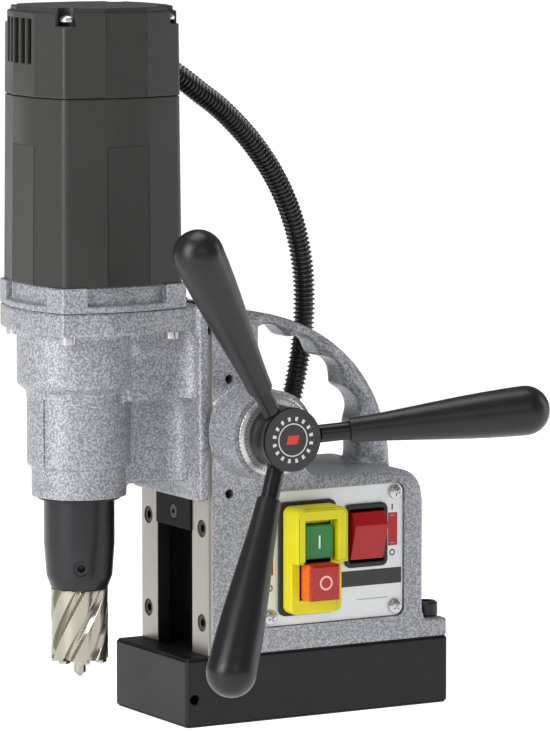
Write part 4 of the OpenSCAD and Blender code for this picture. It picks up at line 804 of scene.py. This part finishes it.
def printed_plate(name):
    """Brushed silver with the printed marks on its front only, their places in millimetres."""
    f = Finish(name, (0.70, 0.71, 0.72), 0.34, Metallic=0.35)
    grain = f.scratches(40, 40, 1600)
    silver = f.mix(grain, (0.62, 0.63, 0.645), (0.74, 0.75, 0.76))
    x, z = f.axis("x"), f.axis("z")
    front = f.axis("y").below(panel_low.y + 0.1 * mm, panel_low.y + 0.2 * mm)
    edge = 0.12 * mm

    def block(x0, x1, z0, z1):
        return x.band(x0 * mm, x1 * mm, edge) * z.band(z0 * mm, z1 * mm, edge)

    def ring(xc, zc):
        return f.about(xc * mm, zc * mm)[2].band(off_r - off_line, off_r, edge)

    def either(*masks):
        whole = masks[0]
        for mask in masks[1:]:
            whole = whole.maths("MAXIMUM", mask)
        return whole

    red = either(*(block(*tab) for tab in red_tabs))
    black = either(*(block(*bar) for bar in (black_rule, *on_bars)), *(ring(*at) for at in off_rings))
    thin = either(*(block(*line) for line in hairlines))
    art = f.mix(red * front, silver, (0.40, 0.008, 0.01))
    art = f.mix(black * front, art, (0.018, 0.018, 0.02))
    f.paint(f.mix(thin * front, art, (0.35, 0.35, 0.36)))
    f.vary("Metallic", 0.35 - either(red, black) * front * 0.35)
    f.vary("Roughness", 0.3 + grain * 0.12)
    f.relief(grain, 0.006 * mm, 0.4)
    return f.material


plate_finish = printed_plate("printed_silver_plate")
eased("front_panel", "front_panel_printed", 0.3 * mm, plate_finish)
eased("rear_cover", "rear_cover_painted", 0.5 * mm, silver_enamel)
zinc = machined("zinc_plated_steel", (0.5, 0.5, 0.5), 0.24, 0.95, (400, 400, 400), 0.12)


def cross_screw(radius, height, facing):
    """A domed cross-recess head that looks along -Y (facing -1), +Y (facing 1) or up (facing 0)."""
    dome = [(radius * math.cos(a), height * math.sin(a)) for a in np.linspace(0, math.pi / 2, 8)]
    foot = -1.2 * mm
    head = new_object("screw", turned([(0, foot), (radius * 0.96, foot), *dome[:-1], (0, height)]))
    long, short = 0.55 * radius, 0.1 * radius
    machine(head, tool(((-long, -short, height * 0.25), (long, short, height * 2))),
        tool(((-short, -long, height * 0.25), (short, long, height * 2))))
    head.data.transform(Matrix.Rotation(math.radians(-90 * facing), 4, "X"))
    return head


head_r = 4 * mm
for facing, side in ((-1, "front"), (1, "rear")):
    spots = [(x, facing * (-screw_low.y - 1.25 * mm), z)
        for x in (screw_low.x + head_r, screw_high.x - head_r)
        for z in (screw_low.z + head_r, screw_high.z - head_r)]
    heads = repeated(f"{side}_panel_screws", cross_screw(head_r, 1.2 * mm, facing), spots, zinc,
        (0, 1, 0), 5 + facing)
    fitted(heads, zinc, "panel_screws")


# ---- Switches ----
# A yellow guarded start and stop switch on a rubber gasket, and a red rocker for the magnet in a
# black bezel: injection moulded plastic, slightly glossy, with printed marks. The switch block and
# its board are behind them, and a gland and an inlet let the wires into the box.

start_low, start_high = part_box("start_button")
stop_low, stop_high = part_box("stop_button")


def moulded(name, colour, roughness, grain=1800, depth=0.02, **fixed):
    """Moulded plastic: slight cloudiness, spark-eroded texture and handling marks."""
    f = Finish(name, colour, roughness, **{"Specular_IOR_Level": 0.35, **fixed})
    cloud = f.noise(70, 2)
    fine = f.noise(grain, 2, 0.6)
    f.paint(f.tints(cloud, colour, 0.9, 1.08))
    f.vary("Roughness", roughness - 0.06 + cloud * 0.12)
    f.relief(fine, depth * mm, 0.5)
    return f.material


def marked(name, colour, roughness, mark, low, high, kind, sides=None):
    """Plastic with an on bar or an off ring printed on the -Y face of the box from low to high, and
    another colour on its sides where one is given."""
    face = low.y
    f = Finish(name, colour, roughness)
    cloud = f.noise(90, 2)
    body_colour = f.tints(cloud, colour, 0.88, 1.1)
    dx, dz, radius = f.about((low.x + high.x) / 2, (low.z + high.z) / 2)
    if kind == "bar":
        shape = dx.band(-0.45 * mm, 0.45 * mm, 0.12 * mm) * dz.band(-3.4 * mm, 3.4 * mm, 0.12 * mm)
    else:
        shape = radius.band(2.9 * mm, 3.8 * mm, 0.12 * mm)
    front = f.axis("y").below(face + 0.25 * mm, face + 0.4 * mm)
    if sides:
        body_colour = f.mix(f.axis("y").fade(face + 1.2 * mm, face + 4 * mm), body_colour, sides)
    f.paint(f.mix(shape * front, body_colour, mark))
    f.vary("Roughness", roughness - 0.05 + cloud * 0.1)
    f.relief(f.noise(1200, 2), 0.015 * mm, 0.5)
    return f.material


rubber = moulded("black_rubber", (0.02, 0.02, 0.021), 0.62, 1400, 0.04)
yellow = moulded("yellow_switch_plastic", (0.66, 0.6, 0.006), 0.34)
eased("switch_gasket", "switch_gasket_rubber", 0.4 * mm, rubber)
eased("switch_housing", "switch_housing_moulded", 0.9 * mm, yellow, 3)
green = marked("green_button_plastic", (0.012, 0.19, 0.035), 0.3, (0.75, 0.8, 0.75), start_low,
    start_high, "bar")
red = marked("red_button_plastic", (0.40, 0.012, 0.008), 0.28, (0.85, 0.5, 0.45), stop_low, stop_high,
    "ring", (0.72, 0.13, 0.02))
eased("start_button", "start_button_moulded", 0.7 * mm, green, 3)
eased("stop_button", "stop_button_moulded", 0.7 * mm, red, 3)
black_plastic = moulded("black_plastic", (0.018, 0.018, 0.019), 0.4)
eased("magnet_switch", "magnet_switch_bezel", 0.6 * mm, black_plastic, 3)
eased("magnet_rocker", "magnet_rocker_moulded", 0.5 * mm,
    moulded("red_rocker_plastic", (0.38, 0.005, 0.008), 0.26), 3)
coat(black_plastic, "switch_block", "brush_holders")


def board(name):
    """Green solder mask over copper tracks."""
    f = Finish(name, (0.02, 0.16, 0.06), 0.35)
    tracks = f.node("ShaderNodeTexBrick", {}, {"Vector": f.place, "Scale": 90,
        "Mortar Size": 0.03}, "Fac")
    f.paint(f.mix(tracks, (0.015, 0.13, 0.045), (0.05, 0.28, 0.1)))
    f.relief(tracks, 0.05 * mm, 0.6)
    return f.material


coat(board("green_circuit_board"), "circuit_board")
eased("cable_inlet", "cable_inlet_moulded", 0.5 * mm, black_plastic)
eased("box_gland", "box_gland_moulded", 0.4 * mm, black_plastic)


# ---- Drill head fittings ----
# Zinc plated bolts up through the flange, the oil seal and bearings inside the casting.

eased("flange_bolts", "flange_bolt_heads", 0.35 * mm, zinc)
coat(rubber, "oil_seal")
bearing_steel = machined("polished_bearing_steel", (0.66, 0.66, 0.66), 0.18, 0.98, (900, 900, 80), 0.08)
coat(bearing_steel, "spindle_bearings", "intermediate_bearings", "motor_bearings")


# ---- Motor ----
# The shell and its vented cap are moulded in charcoal glass-filled nylon with a fine spark texture,
# slightly tapered, their edges well rounded. Four long screws hold the cap down.

charcoal = moulded("charcoal_motor_plastic", (0.025, 0.026, 0.024), 0.4, 1500, 0.05)
shell_low, shell_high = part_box("motor_shell")
hood_low, hood_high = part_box("motor_cap")
shell_r = (shell_high.x - shell_low.x) / 2
draft = 0.035 / (hood_high.z - shell_low.z)
panel_hw = 12 * mm
groove = 0.28 * mm
panel_top = shell_low.z + 72 * mm
post_out = 28.6 * mm
well_out = 1.18


def groove_cutter(low_z, high_z, start, stop, side):
    """A thin bar that follows the tapered wall of one of the motor's four sides."""
    bm = bmesh.new()
    made = bmesh.ops.create_cube(bm, size=1)["verts"]
    for vertex in made:
        z = high_z if vertex.co.z > 0 else low_z
        out = shell_r * (1 - draft * (z - shell_low.z)) + (0.6 * mm if vertex.co.y < 0 else -groove)
        vertex.co = (stop if vertex.co.x > 0 else start, -out, z)
    turn = Matrix.Translation((motor_x, 0, 0)) @ Matrix.Rotation(math.radians(90 * side), 4, "Z")
    bmesh.ops.transform(bm, matrix=turn, verts=made)
    return bm


def rounded_case(node, corner, rest):
    """The shape of a motor moulding, its four outer upright corners rounded more than the rest."""
    bm = copy_of(node)
    corners = [e for e in bm.edges if e.is_manifold and e.calc_length() > 20 * mm
        and all(abs(v.co.x - motor_x) > 32 * mm and abs(v.co.y) > 32 * mm for v in e.verts)]
    bmesh.ops.bevel(bm, geom=corners, offset=corner, offset_type="OFFSET", segments=6, profile=0.5,
        affect="EDGES", clamp_overlap=False)
    return new_object(f"{node}_moulded", break_edges(bm, rest, 2, 40))


shell = rounded_case("motor_shell", 2.6 * mm, 0.5 * mm)
for side in range(4):
    for x in (-panel_hw, panel_hw):
        machine(shell, groove_cutter(shell_low.z - 1 * mm, panel_top, x - groove, x + groove, side))
    machine(shell, groove_cutter(panel_top - groove, panel_top + groove, -panel_hw - groove,
        panel_hw + groove, side))
settle(shell, charcoal, "motor_shell", angle=24)
hood = rounded_case("motor_cap", 1.6 * mm, 0.6 * mm)
for side in (0, 2):
    machine(hood, groove_cutter(hood_low.z - 1 * mm, hood_high.z - 3.5 * mm, -panel_hw - groove,
        groove - panel_hw, side))
well_z = hood_high.z - 9 * mm
posts = [(x * post_out, y * post_out) for x in (-1, 1) for y in (-1, 1)]
machine(hood, *[tool(*[upright(motor_x + x * out, y * out, well_z, hood_high.z + 1 * mm, radius)
    for x, y in posts]) for out, radius in ((1, 5.2 * mm), (well_out, 6.6 * mm))])
settle(hood, charcoal, "motor_cap", angle=24)
fitted(repeated("cap_screw_heads", cross_screw(4.3 * mm, 2.2 * mm, 0),
    [(motor_x + x, y, well_z + 3.4 * mm) for x, y in posts], zinc, seed=9), zinc, "cap_screws")
eased("motor_gland", "motor_gland_moulded", 0.4 * mm, black_plastic)
coat(moulded("white_fan_plastic", (0.7, 0.7, 0.68), 0.45), "cooling_fan")
coat(moulded("pressed_carbon", (0.03, 0.03, 0.03), 0.6, 2500, 0.06), "carbon_brushes")


# ---- Conduit ----
# Corrugated nylon conduit that carries the motor's wires over the back of the head and down into
# the switch box, free between its two glands.

route = [Vector(p) * mm for p in ((-70, 8, 340.9), (-63.2, 8, 340.9), (-56.5, 8.5, 337.3),
    (-45, 10, 329.5), (-28, 13, 318), (-8, 17, 300), (9, 21, 279), (21, 24, 256), (27, 25, 232),
    (28, 25, 209), (26, 25, 188), (21.5, 25, 166), (16, 24, 149), (14, 24, 140), (14, 24, 132))]
conduit_r = 6 * mm
rib_pitch = 2.5 * mm


def smoothed(points, steps):
    """A Catmull-Rom line through the points."""
    ends = [2 * points[0] - points[1]] + points + [2 * points[-1] - points[-2]]
    line = []
    for p0, p1, p2, p3 in zip(ends, ends[1:], ends[2:], ends[3:]):
        for k in range(steps):
            t = k / steps
            line.append(0.5 * (2 * p1 + (p2 - p0) * t + (2 * p0 - 5 * p1 + 4 * p2 - p3) * t * t
                + (3 * p1 - p0 - 3 * p2 + p3) * t ** 3))
    return line + [points[-1]]


def corrugated(name, line, **sizes):
    """A tube along a line whose radius falls by Depth between ribs that are Pitch apart."""
    group, given, got = recipe(name, "Tube", Path="Geometry", Finish="Material", Radius="Float",
        Pitch="Float", Depth="Float", Sides="Int")

    def maths(operation, *values):
        made = group.nodes.new("ShaderNodeMath")
        made.operation = operation
        for i, value in enumerate(values):
            if isinstance(value, (int, float)):
                made.inputs[i].default_value = value
            else:
                group.links.new(getattr(value, "outputs", [value])[0], made.inputs[i])
        return made

    curve, resampled, circle, tube, real, paint = (group.nodes.new(kind) for kind in (
        "GeometryNodeMeshToCurve", "GeometryNodeResampleCurve", "GeometryNodeCurvePrimitiveCircle",
        "GeometryNodeCurveToMesh", "GeometryNodeRealizeInstances", "GeometryNodeSetMaterial"))
    resampled.mode = "LENGTH"
    circle.inputs["Radius"].default_value = 1
    tube.inputs["Fill Caps"].default_value = True
    along = group.nodes.new("GeometryNodeSplineParameter").outputs["Length"]
    wave = maths("COSINE", maths("MULTIPLY", maths("DIVIDE", along, given.outputs["Pitch"]), math.tau))
    rib = maths("POWER", maths("MAXIMUM", wave, 0.0), 0.5)
    fall = maths("MULTIPLY", maths("SUBTRACT", 1.0, rib), given.outputs["Depth"])
    step = maths("DIVIDE", given.outputs["Pitch"], 6.0)
    radius = maths("SUBTRACT", given.outputs["Radius"], fall)
    wired(group, (given, "Path", curve, 0), (curve, 0, resampled, "Curve"),
        (step, 0, resampled, "Length"), (resampled, 0, tube, "Curve"), (radius, 0, tube, "Scale"),
        (given, "Sides", circle, "Resolution"), (circle, "Curve", tube, "Profile Curve"),
        (tube, 0, real, "Geometry"), (real, 0, paint, "Geometry"), (given, "Finish", paint, "Material"),
        (paint, 0, got, "Tube"))
    return grown(name, line, [(i, i + 1) for i in range(len(line) - 1)], group, **sizes)


line = smoothed(route, 8)
conduit_length = sum((b - a).length for a, b in zip(line, line[1:]))
nylon = moulded("black_nylon_conduit", (0.012, 0.012, 0.013), 0.24, 900, 0.02, Specular_IOR_Level=0.6)
conduit = corrugated("conduit_corrugated", line, Finish=nylon, Radius=conduit_r, Pitch=rib_pitch,
    Depth=1.2 * mm, Sides=24)
shade(conduit, 40, False)
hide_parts("conduit")
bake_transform(conduit)


# ---- Spindle and cutter ----
# A blackened steel arbor with two grub screws holds a ground annular cutter with seven spiral
# flutes; the ejector pin runs through its middle.

arbor_finish = machined("blackened_arbor", (0.03, 0.03, 0.032), 0.3, 0.7, (60, 60, 1400), 0.14)
eased("spindle", "spindle_arbor", 0.5 * mm, arbor_finish, 2, 28)
eased("set_screws", "arbor_grub_screws", 0.15 * mm, black_oxide)
cutter_finish = machined("ground_cutter_steel", (0.38, 0.36, 0.30), 0.2, 0.95, (60, 60, 1300), 0.12)
eased("cutter", "annular_cutter", 0.12 * mm, cutter_finish, 1, 30)
eased("pilot_pin", "ejector_pin", 0.3 * mm, cutter_finish)
spring = new_object("ejector_spring_wound", copy_of("ejector_spring"))
shade(spring, 50, False)
spring.data.materials.append(steel)
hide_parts("ejector_spring")
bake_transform(spring)


# ---- Feed lever ----
# Three gloss black rods with long moulded grips screw into a black hub on the pinion shaft. A
# graduated ring behind the hub can be set to zero by hand.

ring_low, ring_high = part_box("scale_ring")
cap_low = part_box("hub_cap")[0]


def graduated(name):
    """Satin chrome with black lines every six degrees on its rim, each fifth one longer."""
    f = Finish(name, (0.5, 0.5, 0.5), 0.34, Metallic=0.7)
    dx, dz, radius = f.about(*shaft)
    turn = f.node("ShaderNodeMath", {"operation": "ARCTAN2"}, [dz, dx]) / math.tau
    fine = (turn * 60).maths("FRACT").band(0.0, 0.16, 0.03)
    coarse = (turn * 12).maths("FRACT").band(0.0, 0.045, 0.008)
    rim_r = ring_high.x - shaft_at.x
    rim = radius.fade(rim_r - 0.6 * mm, rim_r - 0.5 * mm)
    face = f.axis("y").below(ring_low.y + 0.1 * mm, ring_low.y + 0.2 * mm)
    on_face = face * radius.fade(17.9 * mm, 18 * mm)
    marks = (fine * on_face).maths("MAXIMUM", coarse * face * radius.fade(16.9 * mm, 17 * mm))
    marks = marks.maths("MAXIMUM", fine * rim * (1 - face))
    brushed = f.scratches(900, 60, 900)
    f.paint(f.mix(marks, f.mix(brushed, (0.46, 0.46, 0.46), (0.56, 0.56, 0.56)), (0.02, 0.02, 0.02)))
    f.vary("Metallic", 0.7 - marks * 0.7)
    f.vary("Roughness", 0.24 + brushed * 0.12)
    f.relief(brushed, 0.01 * mm, 0.4)
    return f.material


def cap_face(name):
    """Black moulding with a thin white ring, a ring of dots and a red middle mark."""
    f = Finish(name, (0.02, 0.02, 0.021), 0.35)
    dx, dz, radius = f.about(*shaft)
    turn = f.node("ShaderNodeMath", {"operation": "ARCTAN2"}, [dz, dx]) / math.tau
    front = f.axis("y").below(cap_low.y + 1.2 * mm, cap_low.y + 1.4 * mm)
    ring = radius.band(8.1 * mm, 8.6 * mm, 0.1 * mm)
    dots = (turn * 16).maths("FRACT").band(0.34, 0.66, 0.05) * radius.band(10 * mm, 12 * mm, 0.15 * mm)
    red = (dx - dz * 0.25).band(-3.2 * mm, 3.2 * mm, 0.1 * mm) * dz.band(-2.2 * mm, 2.2 * mm, 0.1 * mm)
    cloud = f.noise(80, 2)
    base = f.mix(cloud, (0.017, 0.017, 0.018), (0.024, 0.024, 0.025))
    base = f.mix(ring.maths("MAXIMUM", dots) * front, base, (0.6, 0.6, 0.6))
    f.paint(f.mix(red * front, base, (0.6, 0.03, 0.025)))
    f.vary("Roughness", 0.3 + cloud * 0.12)
    f.relief(f.noise(1400, 2), 0.02 * mm, 0.5)
    return f.material


gloss_black = black_paint("gloss_black_enamel", 0.009, 0.22, 400)
grip_black = moulded("satin_grip_plastic", (0.009, 0.009, 0.0095), 0.34, 1600, 0.03)
eased("scale_ring", "graduated_ring", 0.3 * mm, graduated("graduated_chrome"))
eased("lever_hub", "lever_hub_turned", 0.5 * mm, gloss_black)
eased("hub_cap", "hub_cap_moulded", 0.4 * mm, cap_face("printed_hub_cap"))
eased("lever_rods", "lever_rods_enamelled", 0.3 * mm, gloss_black)
eased("lever_grips", "lever_grips_moulded", 0.4 * mm, grip_black)
